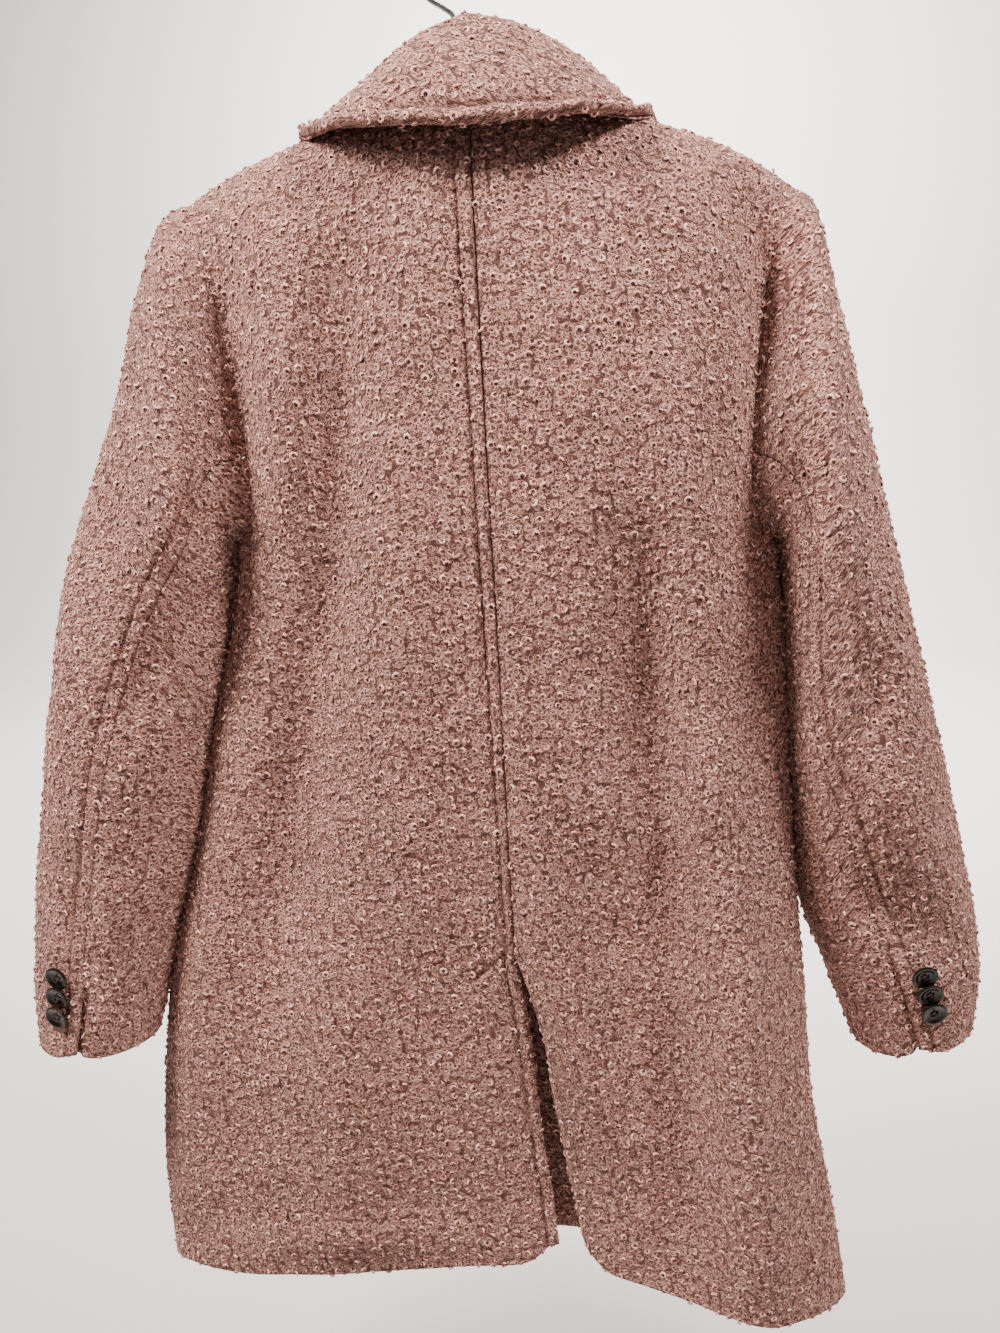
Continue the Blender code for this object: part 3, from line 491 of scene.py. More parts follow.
def neck_seam(at):
    """The seam that the collar's stand sits on: the back neckline, then down the roll line."""
    sign = np.where(at >= 0, 1.0, -1.0)
    far = np.abs(at)
    back_out = NECK_HALF * np.sin(np.clip(far / COLLAR_SHOULDER, 0, 1) * math.pi / 2)
    back_down = neckline_down(np.minimum(back_out, NECK_HALF - SMALLEST))
    front_down = NECK_END_DROP * np.clip((far - COLLAR_SHOULDER) / (1 - COLLAR_SHOULDER), 0, 1)
    front_out = roll_line(front_down)
    behind = far < COLLAR_SHOULDER
    out = np.where(behind, back_out, front_out)
    y = np.where(behind, depth(1, sign * back_out, back_down), depth(-1, sign * front_out, front_down))
    return sign * out, y, np.where(behind, back_down, front_down)


def collar_point(at, across):
    """A point of the collar: at from -1 to 1 along it, across from the neck seam over the roll
    to the leaf edge."""
    sign = np.where(at >= 0, 1.0, -1.0)
    neck_x, neck_y, neck_down = neck_seam(at)
    turn = np.radians(collar_column("turn", at))
    out_x, out_y = sign * np.sin(turn), np.cos(turn)
    radius = collar_column("roll_radius", at)
    roll_x, roll_y = sign * collar_column("roll_x", at), collar_column("roll_y", at)
    lean = np.clip(np.sin(math.pi * np.clip(at / COLLAR_LEAN_REACH, 0, 1)), 0, 1)
    roll_down = collar_column("roll_down", at) + COLLAR_LEAN * lean
    leaf_x = sign * collar_column("leaf_x", at) * np.where(sign > 0, 1, RIGHT_LEAF_SHARE)
    leaf_y = collar_column("leaf_y", at)
    leaf_down = collar_column("leaf_down", at)
    t_stand = np.clip(across / STAND_SHARE, 0, 1)
    t_roll = np.clip((across - STAND_SHARE) / (ROLL_SHARE - STAND_SHARE), 0, 1) * math.pi
    t_leaf = np.clip((across - ROLL_SHARE) / (1 - ROLL_SHARE), 0, 1)
    centre_down = roll_down + radius
    front = fade(*FRONT_STAND, np.abs(at))
    inset = STAND_INSET + FRONT_STAND_INSET * front
    foot_x, foot_y = neck_x - out_x * inset, neck_y - out_y * inset
    foot_down = neck_down - STAND_LIFT - FRONT_STAND_LIFT * front
    stand_point = [
        foot_x + (roll_x - out_x * radius - foot_x) * t_stand,
        foot_y + (roll_y - out_y * radius - foot_y) * t_stand,
        foot_down + (centre_down - foot_down) * t_stand,
    ]
    roll_point = [
        roll_x - out_x * radius * np.cos(t_roll),
        roll_y - out_y * radius * np.cos(t_roll),
        centre_down - radius * np.sin(t_roll),
    ]
    belly = LEAF_BELLY * np.sin(math.pi * t_leaf) * (1 - 0.5 * np.abs(at))
    leaf_point = [
        roll_x + out_x * radius + (leaf_x - roll_x - out_x * radius) * t_leaf + out_x * belly,
        roll_y + out_y * radius + (leaf_y - roll_y - out_y * radius) * t_leaf + out_y * belly,
        centre_down + (leaf_down - centre_down) * t_leaf,
    ]
    parts = [np.where(across < STAND_SHARE, a, np.where(across < ROLL_SHARE, b, c))
             for a, b, c in zip(stand_point, roll_point, leaf_point, strict=True)]
    return placed(*parts)


def lapel_point(sign, u, v):
    """A point of a lapel: u from the roll line to the outer edge, v from the top to the break."""
    downs, outers = (column(LAPEL, LAPEL_COLUMNS, name)[::-1] for name in LAPEL_COLUMNS)
    top = LAPEL_TOP_INNER_DROP + (downs[0] - LAPEL_TOP_INNER_DROP) * u
    down = top + (BREAK_DROP - LAPEL_END_GAP - top) * v
    inner = roll_line(down) + LAPEL_ROLL_GAP
    out = inner + (np.maximum(smooth(downs, outers, down), inner + LAPEL_LEAST) - inner) * u
    x = sign * out
    return placed(x, depth(-1, x, down) + under_inset(sign, x, down) - LAPEL_OFFSET, down)


# Creases and swells of the body: face (1 back, -1 front), from and to as (x, down), how far
# the middle bows sideways, half width and height; a trough has a negative height
BODY_FOLDS = [
    (1, 0.174, 0.085, 0.170, 0.262, 0.003, 0.014, -0.0130),
    (1, 0.126, 0.060, 0.134, 0.240, 0.004, 0.022, 0.0080),
    (1, 0.092, 0.105, 0.119, 0.340, 0.004, 0.022, -0.0130),
    (1, 0.119, 0.310, 0.176, 0.620, -0.008, 0.026, -0.0180),
    (1, 0.062, 0.220, 0.076, 0.560, 0.006, 0.030, 0.0080),
    (1, 0.205, 0.420, 0.262, 0.760, -0.006, 0.026, 0.0100),
    (1, 0.150, 0.560, 0.136, 0.790, 0.008, 0.034, 0.0110),
    (1, 0.030, 0.050, 0.052, 0.170, 0.003, 0.026, 0.0050),
    (1, -0.170, 0.060, -0.187, 0.290, 0.006, 0.017, -0.0220),
    (1, -0.124, 0.170, -0.137, 0.450, 0.003, 0.022, 0.0160),
    (1, -0.135, 0.420, -0.166, 0.815, 0.004, 0.026, 0.0210),
    (1, -0.090, 0.280, -0.106, 0.540, 0.003, 0.022, -0.0130),
    (1, -0.105, 0.510, -0.110, 0.800, 0.005, 0.024, -0.0155),
    (1, 0.002, 0.370, -0.010, 0.480, 0.002, 0.013, 0.0050),
    (1, -0.006, 0.480, -0.060, 0.700, -0.004, 0.018, 0.0130),
    (1, -0.050, 0.480, -0.085, 0.680, 0.006, 0.020, -0.0090),
    (1, -0.078, 0.090, -0.074, 0.300, 0.006, 0.034, 0.0070),
    (1, 0.060, 0.800, 0.210, 0.812, -0.006, 0.016, 0.0040),
    (-1, 0.120, 0.200, 0.135, 0.500, -0.006, 0.026, -0.0110),
    (-1, -0.115, 0.180, -0.130, 0.480, 0.006, 0.026, -0.0110),
    (-1, 0.050, 0.520, 0.080, 0.800, 0.008, 0.034, 0.0110),
    (-1, -0.050, 0.500, -0.075, 0.790, -0.008, 0.032, 0.0110),
    (-1, 0.150, 0.420, 0.205, 0.760, 0.010, 0.026, -0.0120),
    (-1, -0.140, 0.450, -0.165, 0.760, -0.008, 0.024, -0.0120),
]

# Creases of the sleeves: side, from and to as (ring, degrees round the arm), half width as a
# share of a ring or of a step of the turn, and height
SLEEVE_FOLDS = [
    ("left", 4.2, 60, 6.2, 120, 0.55, -0.0060),
    ("left", 4.6, 160, 6.4, 95, 0.50, -0.0065),
    ("left", 5.4, 40, 7.4, 80, 0.60, 0.0050),
    ("left", 6.2, 190, 7.4, 130, 0.50, -0.0060),
    ("left", 8.2, 70, 9.6, 110, 0.60, -0.0050),
    ("left", 1.2, 110, 4.6, 118, 0.80, 0.0070),
    ("left", 1.2, 62, 5.2, 66, 0.80, -0.0050),
    ("left", 5.2, 250, 7.0, 320, 0.50, -0.0060),
    ("right", 1.2, 118, 4.2, 128, 0.80, -0.0080),
    ("right", 1.0, 88, 5.6, 92, 0.80, 0.0060),
    ("right", 4.6, 130, 6.6, 80, 0.50, -0.0070),
    ("right", 6.0, 60, 7.4, 110, 0.50, -0.0060),
    ("right", 8.6, 120, 9.6, 60, 0.45, -0.0080),
    ("right", 7.4, 100, 8.8, 50, 0.50, 0.0050),
    ("right", 5.2, 250, 7.0, 320, 0.50, -0.0060),
    ("right", 2.2, 184, 8.6, 184, 0.90, 0.0034),
    ("left", 2.6, 182, 11.6, 182, 0.90, 0.0068),
]

# Soft unevenness of the thick cloth: wavelength and height of each ripple
RIPPLES = [(0.085, 0.00050), (0.047, 0.00032), (0.026, 0.00018)]
RIPPLE_STARTS = {"back": 0.4, "front": 1.7, "left": 2.5, "right": 3.6, "collar": 5.1}

# Measures of the sleeves' creases: degrees in a step of the turn, metres in a ring, how much
# each bows, and the rings over which they grow below the cap and fade towards the cuff
TURN_STEP = 20
RING_PITCH = 0.055
SLEEVE_BOW = 0.1
CAP_FADE = (0.6, 1.8)
CUFF_FADE = (10.2, 11)
CUFF_CALM = 0.8

# How far a crease has already swelled at its ends, and how full it is between them
STROKE_END = 0.08
STROKE_POWER = 0.7

# Sewing: where rows of topstitching run from an edge, and how deep and wide they sink
STITCH_DEPTH = 0.0018
STITCH_WIDTH = 0.0013
SEAM_ROUND = 0.0018
CENTRE_LAP = 0.0050
SEAM_BARE = 0.0015
CENTRE_STITCH = (0.0105, 0.0070)
FLAP_STITCH = 0.0095
SLEEVE_STITCH = 0.0115
COLLAR_STITCH = 0.0112
FRONT_STITCH = 0.0110
HEM_DEPTH = 0.030

# The mesh of a piece: distances from an edge where its first lines lie, then even steps
EDGE_LINES = (0, 0.0003, 0.0009, 0.0018, 0.0034, 0.0052, 0.0070, 0.0086, 0.0102, 0.0118, 0.0138,
              0.017)
CLOTH_STEP = 0.0065

# Width and length of each kind of piece for its mesh, the steps of those that don't use the
# common one, and where a back's lines lie closer: from, to and step
MESH_SIZE = {"back": (0.27, 0.83), "front": (0.33, 0.83), "lapel": (0.16, 0.17),
             "underlap": (0.05, 0.235), "top": (0.21, 0.60), "under": (0.13, 0.42),
             "collar": (0.52, 0.135)}
MESH_STEP = {"back": (CLOTH_STEP, 0.0072), "front": (CLOTH_STEP, 0.0075),
             "collar": (0.0055, 0.0045)}
MESH_DENSE = {"back": (((0.017, 0.036, 0.0018),), ((0.550, 0.606, 0.0020),))}

# The centre-back seam: the raised strip beside it, and how far its lap reaches and sinks
STRIP_HEIGHT = 0.0009
LAP_STEP = (CENTRE_LAP - 0.0010, CENTRE_LAP + 0.0022)
LAP_SINK = CLOTH + 0.0004

# How the right flap rolls inwards at the vent, and how far behind it the underlap hangs
VENT_ROLL = (0.0080, 0.0150)
VENT_ROLL_LEAST = 0.002
VENT_WIDENS = (VENT_TOP - 0.002, VENT_TOP + 0.120)
VENT_DEEPENS = (VENT_TOP - 0.004, VENT_TOP + 0.025)
VENT_OPENS = (VENT_TOP - 0.004, VENT_TOP + 0.004)
UNDERLAP_BEHIND = 0.0190
UNDERLAP_SINKS = (UNDERLAP_TOP - 0.030, UNDERLAP_TOP + 0.015)
UNDERLAP_PAST = 0.004

# How much thicker the turned edges of the left flap and of the fronts are, and their widths
FLAP_EDGE = 0.0022
FLAP_EDGE_FADE = (0.008, 0.012)
FRONT_EDGE = 0.002
FRONT_EDGE_FADE = (0.010, 0.016)

# The bar tack that ends the vent: from and to as (x, down)
VENT_TACK = (0.0085, VENT_TOP - 0.001, 0.0345, VENT_TOP + 0.0185)
TACK_DEPTH = 0.0020
TACK_HALF = 0.0016

# Loops of wool: size across, wire, closest spacing and how many a square metre at most
LOOP_SIZE = 0.0040
LOOP_WIRE = 0.00085
LOOP_SPACING = 0.0062
FRONT_LOOP_SPACING = 0.0078
LOOP_DENSITY = 60000
LOOP_BEND = 0.42
LOOP_SWEEP = math.radians(300)
LOOP_TIP = 0.6
LOOP_SIZES = (0.72, 1.25)


def lines(length, step=CLOTH_STEP, dense=()):
    """Places from 0 to 1 along a length: close together at its edges and in dense stretches,
    given as (from, to, step), and even between."""
    edge = [d for d in EDGE_LINES if d < length / 2.2]
    steps = max(2, round((length - 2 * edge[-1]) / step))
    middle = np.linspace(edge[-1], length - edge[-1], steps + 1)
    places = np.concatenate([edge[:-1], middle, [length - d for d in edge[-2::-1]]])
    for low, high, fine in dense:
        places = places[(places < low - fine / 2) | (places > high + fine / 2)]
        places = np.concatenate([places, np.linspace(low, high, round((high - low) / fine) + 1)])
    return np.sort(places) / length


def grid(kind):
    """The lines of a piece's mesh, across it and down it."""
    steps = MESH_STEP.get(kind, (CLOTH_STEP, CLOTH_STEP))
    dense = MESH_DENSE.get(kind, ((), ()))
    return np.meshgrid(*(lines(*row) for row in zip(MESH_SIZE[kind], steps, dense, strict=True)))


def stroke(a, b, from_a, from_b, to_a, to_b, bow, width):
    """1 along the middle of a bowed stroke in the plane (a, b), fading to its sides and ends."""
    run_a, run_b = to_a - from_a, to_b - from_b
    length = math.hypot(run_a, run_b)
    along = ((a - from_a) * run_a + (b - from_b) * run_b) / length**2
    across = ((a - from_a) * -run_b + (b - from_b) * run_a) / length
    t = np.clip(along, 0, 1)
    across = across - bow * np.sin(math.pi * t)
    past = (along - t) * length
    swell = np.sin(math.pi * (STROKE_END + (1 - 2 * STROKE_END) * t)) ** STROKE_POWER
    return np.exp(-((across / width) ** 2) - (past / width) ** 2) * swell


def ripple(x, z, offset):
    """The slow unevenness of thick cloth over a plane."""
    height = 0 * x
    for i, (wave, rise) in enumerate(RIPPLES):
        k = 2 * math.pi / wave
        lean = 0.6 + 0.9 * i + offset
        first = np.sin(k * (x * math.cos(lean) + z * math.sin(lean)) + 2.1 * offset)
        second = np.sin(k * 0.83 * (z * math.cos(lean) - x * math.sin(lean)) + 1.3 + offset)
        height = height + rise * first * second
    return height


def body_relief(face, x, down):
    """How far the body's cloth stands out of its plain form."""
    height = ripple(x, down, RIPPLE_STARTS["back" if face > 0 else "front"])
    for fold_face, *place, rise in BODY_FOLDS:
        if fold_face == face:
            height = height + rise * stroke(x, down, *place)
    return height


def sleeve_relief(side, ring, angle):
    """How far a sleeve's cloth stands out of its oval."""
    turn = np.degrees(angle) % 360
    height = ripple(ring * RING_PITCH, np.radians(turn) * RING_PITCH, RIPPLE_STARTS[side])
    for fold_side, ring_from, turn_from, ring_to, turn_to, width, rise in SLEEVE_FOLDS:
        if fold_side == side:
            for around in (0, 360):
                height = height + rise * stroke(
                    ring, (turn - around) / TURN_STEP, ring_from, turn_from / TURN_STEP,
                    ring_to, turn_to / TURN_STEP, SLEEVE_BOW, width)
    return height * fade(*CAP_FADE, ring) * (1 - CUFF_CALM * fade(*CUFF_FADE, ring))


def surface_normals(points):
    """Unit normals of a grid of points."""
    across = np.gradient(points, axis=1)
    along = np.gradient(points, axis=0)
    cross = np.cross(across, along)
    return cross / np.maximum(np.linalg.norm(cross, axis=-1, keepdims=True), SMALLEST**2)


def outward_normals(points, outwards):
    """Unit normals of a grid, on the side that looks outwards."""
    facing = surface_normals(points)
    middle = facing[len(facing) // 2, facing.shape[1] // 2]
    return facing if middle @ np.array(outwards, float) > 0 else -facing


def lifted(points, outwards, height):
    return points + outward_normals(points, outwards) * height[..., None]


def edge_distances(points):
    """Distances of a grid's points, along its lines, from its four edges: first and last column,
    first and last row."""
    across = np.linalg.norm(np.diff(points, axis=1), axis=-1)
    along = np.linalg.norm(np.diff(points, axis=0), axis=-1)
    from_first = np.concatenate([np.zeros((len(points), 1)), np.cumsum(across, axis=1)], axis=1)
    from_top = np.concatenate([np.zeros((1, points.shape[1])), np.cumsum(along, axis=0)], axis=0)
    return from_first, from_first[:, -1:] - from_first, from_top, from_top[-1:] - from_top


def groove(distance, at):
    """The dip of a row of topstitching at a distance from an edge."""
    return -STITCH_DEPTH * np.exp(-(((distance - at) / STITCH_WIDTH) ** 2))


def rolled(points, outwards, thick, sewn=(False, False, False, False)):
    """Outer and inner grids of a shell from its outer face. Free edges are rolled round; sewn
    ones (first and last column, first and last row) turn in sharply, to meet their neighbour."""
    facing = outward_normals(points, outwards)
    thick = np.broadcast_to(thick, points.shape[:2])
    half = thick[..., None] / 2
    free = np.ones(points.shape[:2])
    joined = np.ones(points.shape[:2])
    for reach, is_sewn in zip(edge_distances(points), sewn, strict=True):
        if is_sewn:
            joined = np.minimum(joined, reach / SEAM_ROUND)
        else:
            free = np.minimum(free, reach / half[..., 0])
    roll = np.sqrt(np.maximum(1 - (1 - free) ** 2, 0))[..., None]
    joined = joined[..., None]
    centre = points - facing * half
    return centre + facing * half * roll, centre + facing * half * roll * (1 - 2 * joined)


def note(mesh, name, kind, values):
    """Keeps a value or place with each point of a mesh, for its material or its loops."""
    key = "vector" if kind == "FLOAT_VECTOR" else "value"
    values = np.ascontiguousarray(values, dtype=float).ravel()
    mesh.attributes.new(name, kind, "POINT").data.foreach_set(key, values)


def new_object(name, data):
    """An object in the scene."""
    made = bpy.data.objects.new(name, data)
    bpy.context.scene.collection.objects.link(made)
    return made


def mesh_of(work, name):
    """A mesh from a finished workpiece."""
    mesh = bpy.data.meshes.new(name)
    work.to_mesh(mesh)
    work.free()
    return mesh


def grown(thing):
    """The mesh that an object's modifiers or thickness make of it."""
    bpy.context.view_layer.update()
    graph = bpy.context.evaluated_depsgraph_get()
    return bpy.data.meshes.new_from_object(thing.evaluated_get(graph))


def quads(index):
    """The faces of a grid of point numbers."""
    corners = [index[:-1, :-1], index[:-1, 1:], index[1:, 1:], index[1:, :-1]]
    return np.stack(corners, axis=-1).reshape(-1, 4)


def shell(name, outer, inner, place, pressed):
    """A closed shell of cloth between two grids that meet along their edges."""
    rows, columns = outer.shape[:2]
    index = np.arange(rows * columns).reshape(rows, columns)
    inside = index + rows * columns
    inside[0], inside[-1] = index[0], index[-1]
    inside[:, 0], inside[:, -1] = index[:, 0], index[:, -1]
    points = np.concatenate([outer.reshape(-1, 3), inner.reshape(-1, 3)])
    faces = np.concatenate([quads(index), quads(inside)[:, [0, 3, 2, 1]]])
    mesh = bpy.data.meshes.new(name)
    mesh.from_pydata(points.tolist(), [], faces.tolist())
    note(mesh, "weave_place", "FLOAT_VECTOR", np.concatenate([place.reshape(-1, 3)] * 2))
    note(mesh, "pressed", "FLOAT", np.concatenate([pressed.ravel()] * 2))
    work = bmesh.new()
    work.from_mesh(mesh)
    bmesh.ops.delete(work, geom=[v for v in work.verts if not v.link_faces], context="VERTS")
    bmesh.ops.recalc_face_normals(work, faces=work.faces)
    work.to_mesh(mesh)
    work.free()
    mesh.materials.append(CLOTH_FINISH)
    mesh.shade_smooth()
    return new_object(name, mesh)


def skin(outer, outwards, pile):
    """The outer face alone, for the loops to sit on, facing out, with the share of them that
    each place carries."""
    rows, columns = outer.shape[:2]
    faces = quads(np.arange(rows * columns).reshape(rows, columns))
    mesh = bpy.data.meshes.new("skin")
    mesh.from_pydata(outer.reshape(-1, 3).tolist(), [], faces.tolist())
    mesh.update()
    normal = mesh.polygons[len(mesh.polygons) // 2].normal
    if np.array(normal) @ np.array(outwards, float) < 0:
        mesh.flip_normals()
    note(mesh, "pile", "FLOAT", pile)
    return mesh


def put_on(piece, slot, *nodes):
    """The piece rides with the coat and stands for its nodes, whose solids are hidden; slot is not
    used.
    """
    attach(piece, "root")
    if nodes:
        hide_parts(*nodes)
    return piece


def add_loops(name, outer, outwards, pile, spacing=LOOP_SPACING):
    """Small wool loops all over a cloth piece, as one plain mesh."""
    base = new_object(name + "_pile", skin(outer, outwards, pile))
    grow = base.modifiers.new("pile", "NODES")
    grow.node_group = LOOP_TREE
    set_input(grow, "Density", LOOP_DENSITY)
    set_input(grow, "Spacing", spacing)
    set_input(grow, "Loop Size", LOOP_SIZE)
    set_input(grow, "Seed", sum(map(ord, name)))
    made = grown(base)
    base.modifiers.clear()
    base.data = made
    put_on(base, "looped_wool")


def set_input(modifier, name, value):
    """Sets a modifier's input by its socket's identifier."""
    for socket in modifier.node_group.interface.items_tree:
        if socket.item_type == "SOCKET" and socket.in_out == "INPUT" and socket.name == name:
            modifier[socket.identifier] = value


def new_node(tree, kind, inputs=None, **settings):
    """A node with its settings and unlinked input values; a value that is a socket is linked."""
    node = tree.nodes.new(kind)
    for key, value in settings.items():
        setattr(node, key, value)
    for key, value in (inputs or {}).items():
        socket = node.inputs[key]
        if isinstance(value, bpy.types.NodeSocket):
            tree.links.new(value, socket)
        else:
            socket.default_value = value
    return node


def maths(tree, operation, a, b=0.0, clamp=False):
    inputs = {0: a, 1: b}
    return new_node(tree, "ShaderNodeMath", inputs, operation=operation, use_clamp=clamp).outputs[0]


def plus(tree, a, b):
    return maths(tree, "ADD", a, b)


def times(tree, a, b, clamp=False):
    return maths(tree, "MULTIPLY", a, b, clamp)


def minus(tree, a, b, clamp=False):
    return maths(tree, "SUBTRACT", a, b, clamp)


def vectors(tree, operation, inputs):
    return new_node(tree, "ShaderNodeVectorMath", inputs, operation=operation).outputs[0]


def noise(tree, place, scale, detail=2.0, across="3D", **more):
    """A cloudy pattern over a place."""
    inputs = {"Vector": place, "Scale": scale, "Detail": detail, **more}
    return new_node(tree, "ShaderNodeTexNoise", inputs, noise_dimensions=across)


def grey(tree, tone):
    return new_node(tree, "ShaderNodeCombineColor", {0: tone, 1: tone, 2: tone}).outputs[0]


def make_loop_tree():
    """Geometry Nodes: open wool loops scattered over a surface, each tipped at random."""
    tree = bpy.data.node_groups.new("wool_loops", "GeometryNodeTree")
    face = tree.interface
    face.new_socket("Geometry", in_out="INPUT", socket_type="NodeSocketGeometry")
    for name, value in (("Density", LOOP_DENSITY), ("Spacing", LOOP_SPACING),
                        ("Loop Size", LOOP_SIZE)):
        face.new_socket(name, in_out="INPUT", socket_type="NodeSocketFloat").default_value = value
    face.new_socket("Seed", in_out="INPUT", socket_type="NodeSocketInt")
    face.new_socket("Geometry", in_out="OUTPUT", socket_type="NodeSocketGeometry")
    start = new_node(tree, "NodeGroupInput")
    arc = new_node(tree, "GeometryNodeCurveArc", {
        "Resolution": 7, "Radius": LOOP_BEND, "Start Angle": 0.0, "Sweep Angle": LOOP_SWEEP})
    wire = new_node(tree, "GeometryNodeCurvePrimitiveCircle", {
        "Resolution": 3, "Radius": LOOP_WIRE / LOOP_SIZE})
    loop = new_node(tree, "GeometryNodeCurveToMesh", {
        "Curve": arc.outputs["Curve"], "Profile Curve": wire.outputs["Curve"],
        "Fill Caps": False})
    smooth_loop = new_node(tree, "GeometryNodeSetShadeSmooth", {"Geometry": loop.outputs["Mesh"]})
    cover = new_node(tree, "GeometryNodeInputNamedAttribute", {"Name": "pile"}, data_type="FLOAT")
    spread = new_node(tree, "GeometryNodeDistributePointsOnFaces", {
        "Mesh": start.outputs["Geometry"], "Distance Min": start.outputs["Spacing"],
        "Density Max": start.outputs["Density"], "Density Factor": cover.outputs["Attribute"],
        "Seed": start.outputs["Seed"]},
        distribute_method="POISSON")
    tip = new_node(tree, "FunctionNodeRandomValue", {
        0: (-LOOP_TIP, -LOOP_TIP, 0.0), 1: (LOOP_TIP, LOOP_TIP, 2 * math.pi),
        "Seed": start.outputs["Seed"]},
        data_type="FLOAT_VECTOR")
    turn = new_node(tree, "FunctionNodeRotateRotation", {
        "Rotation": spread.outputs["Rotation"], "Rotate By": tip.outputs[0]},
        rotation_space="LOCAL")
    size = new_node(tree, "FunctionNodeRandomValue", {
        2: LOOP_SIZES[0], 3: LOOP_SIZES[1], "Seed": start.outputs["Seed"]}, data_type="FLOAT")
    scale = times(tree, size.outputs[1], start.outputs["Loop Size"])
    place = new_node(tree, "GeometryNodeInstanceOnPoints", {
        "Points": spread.outputs["Points"], "Instance": smooth_loop.outputs["Geometry"],
        "Rotation": turn.outputs[0], "Scale": scale})
    real = new_node(tree, "GeometryNodeRealizeInstances", {"Geometry": place.outputs["Instances"]})
    finish = new_node(tree, "GeometryNodeSetMaterial", {
        "Geometry": real.outputs["Geometry"], "Material": LOOP_YARN})
    new_node(tree, "NodeGroupOutput", {"Geometry": finish.outputs["Geometry"]})
    return tree


def new_finish(name, roughness, metallic=0.0):
    """An empty material: its tree, its shader and itself."""
    finish = bpy.data.materials.new(name)
    finish.use_nodes = True
    shader = finish.node_tree.nodes["Principled BSDF"]
    shader.inputs["Roughness"].default_value = roughness
    shader.inputs["Metallic"].default_value = metallic
    return finish, finish.node_tree, shader


def ramp(tree, value, stops):
    """A colour ramp over (place, colour) stops."""
    node = tree.nodes.new("ShaderNodeValToRGB")
    elements = node.color_ramp.elements
    for element, (place, colour) in zip(elements, (stops[0], stops[-1]), strict=True):
        element.position, element.color = place, (*colour, 1)
    for place, colour in stops[1:-1]:
        elements.new(place).color = (*colour, 1)
    tree.links.new(value, node.inputs[0])
    return node.outputs[0]


def mix_colour(tree, share, a, b, blend="MIX"):
    node = tree.nodes.new("ShaderNodeMix")
    node.data_type, node.blend_type = "RGBA", blend
    for socket, value in ((node.inputs[0], share), (node.inputs[6], a), (node.inputs[7], b)):
        if isinstance(value, bpy.types.NodeSocket):
            tree.links.new(value, socket)
        else:
            socket.default_value = value
    return node.outputs[2]


# Colours of the wool by loop height: the wool's pink with painted shade, darkest in the gaps
# between loops, and a painted highlight on their tops; and of single paler and browner strands
WOOL_AND_SHADE_STOPS = [
    (0.00, (0.060, 0.020, 0.016)),
    (0.14, (0.190, 0.069, 0.055)),
    (0.30, (0.460, 0.197, 0.158)),
    (0.52, (0.740, 0.361, 0.300)),
    (0.80, (1.000, 0.590, 0.500)),
]
PALE_WOOL = (1.00, 0.66, 0.57, 1)
BROWN_WOOL = (0.40, 0.175, 0.140, 1)

# Layers of curls: how many to a metre, the middle and half width of a ring as shares of a curl,
# and how high the layer stands; then how the curls wander, differ in size and height, and blend
RING_LAYERS = ((168.0, 0.31, 0.17, 1.0), (250.0, 0.29, 0.19, 0.62))
LAYER_SHIFT = (0.31, 0.17)
CURL_BEND = (330.0, 0.0036)
CURL_SPREAD = 0.12
CURL_LEAST = 0.60
CURL_BLEND = 0.06
CURL_HEIGHT = 0.0036

# The fuzz on the curls, slow unevenness of tone, how far pressed cloth flattens, and how much
# painted shade darkens the colour along stitching and pressed edges
FUZZ = (1300.0, 0.42, 0.50)
PATCHES = (16.0, 0.30, 0.85)
PRESSED_FLAT = -0.55
PRESSED_PAINTED_SHADE = 0.12


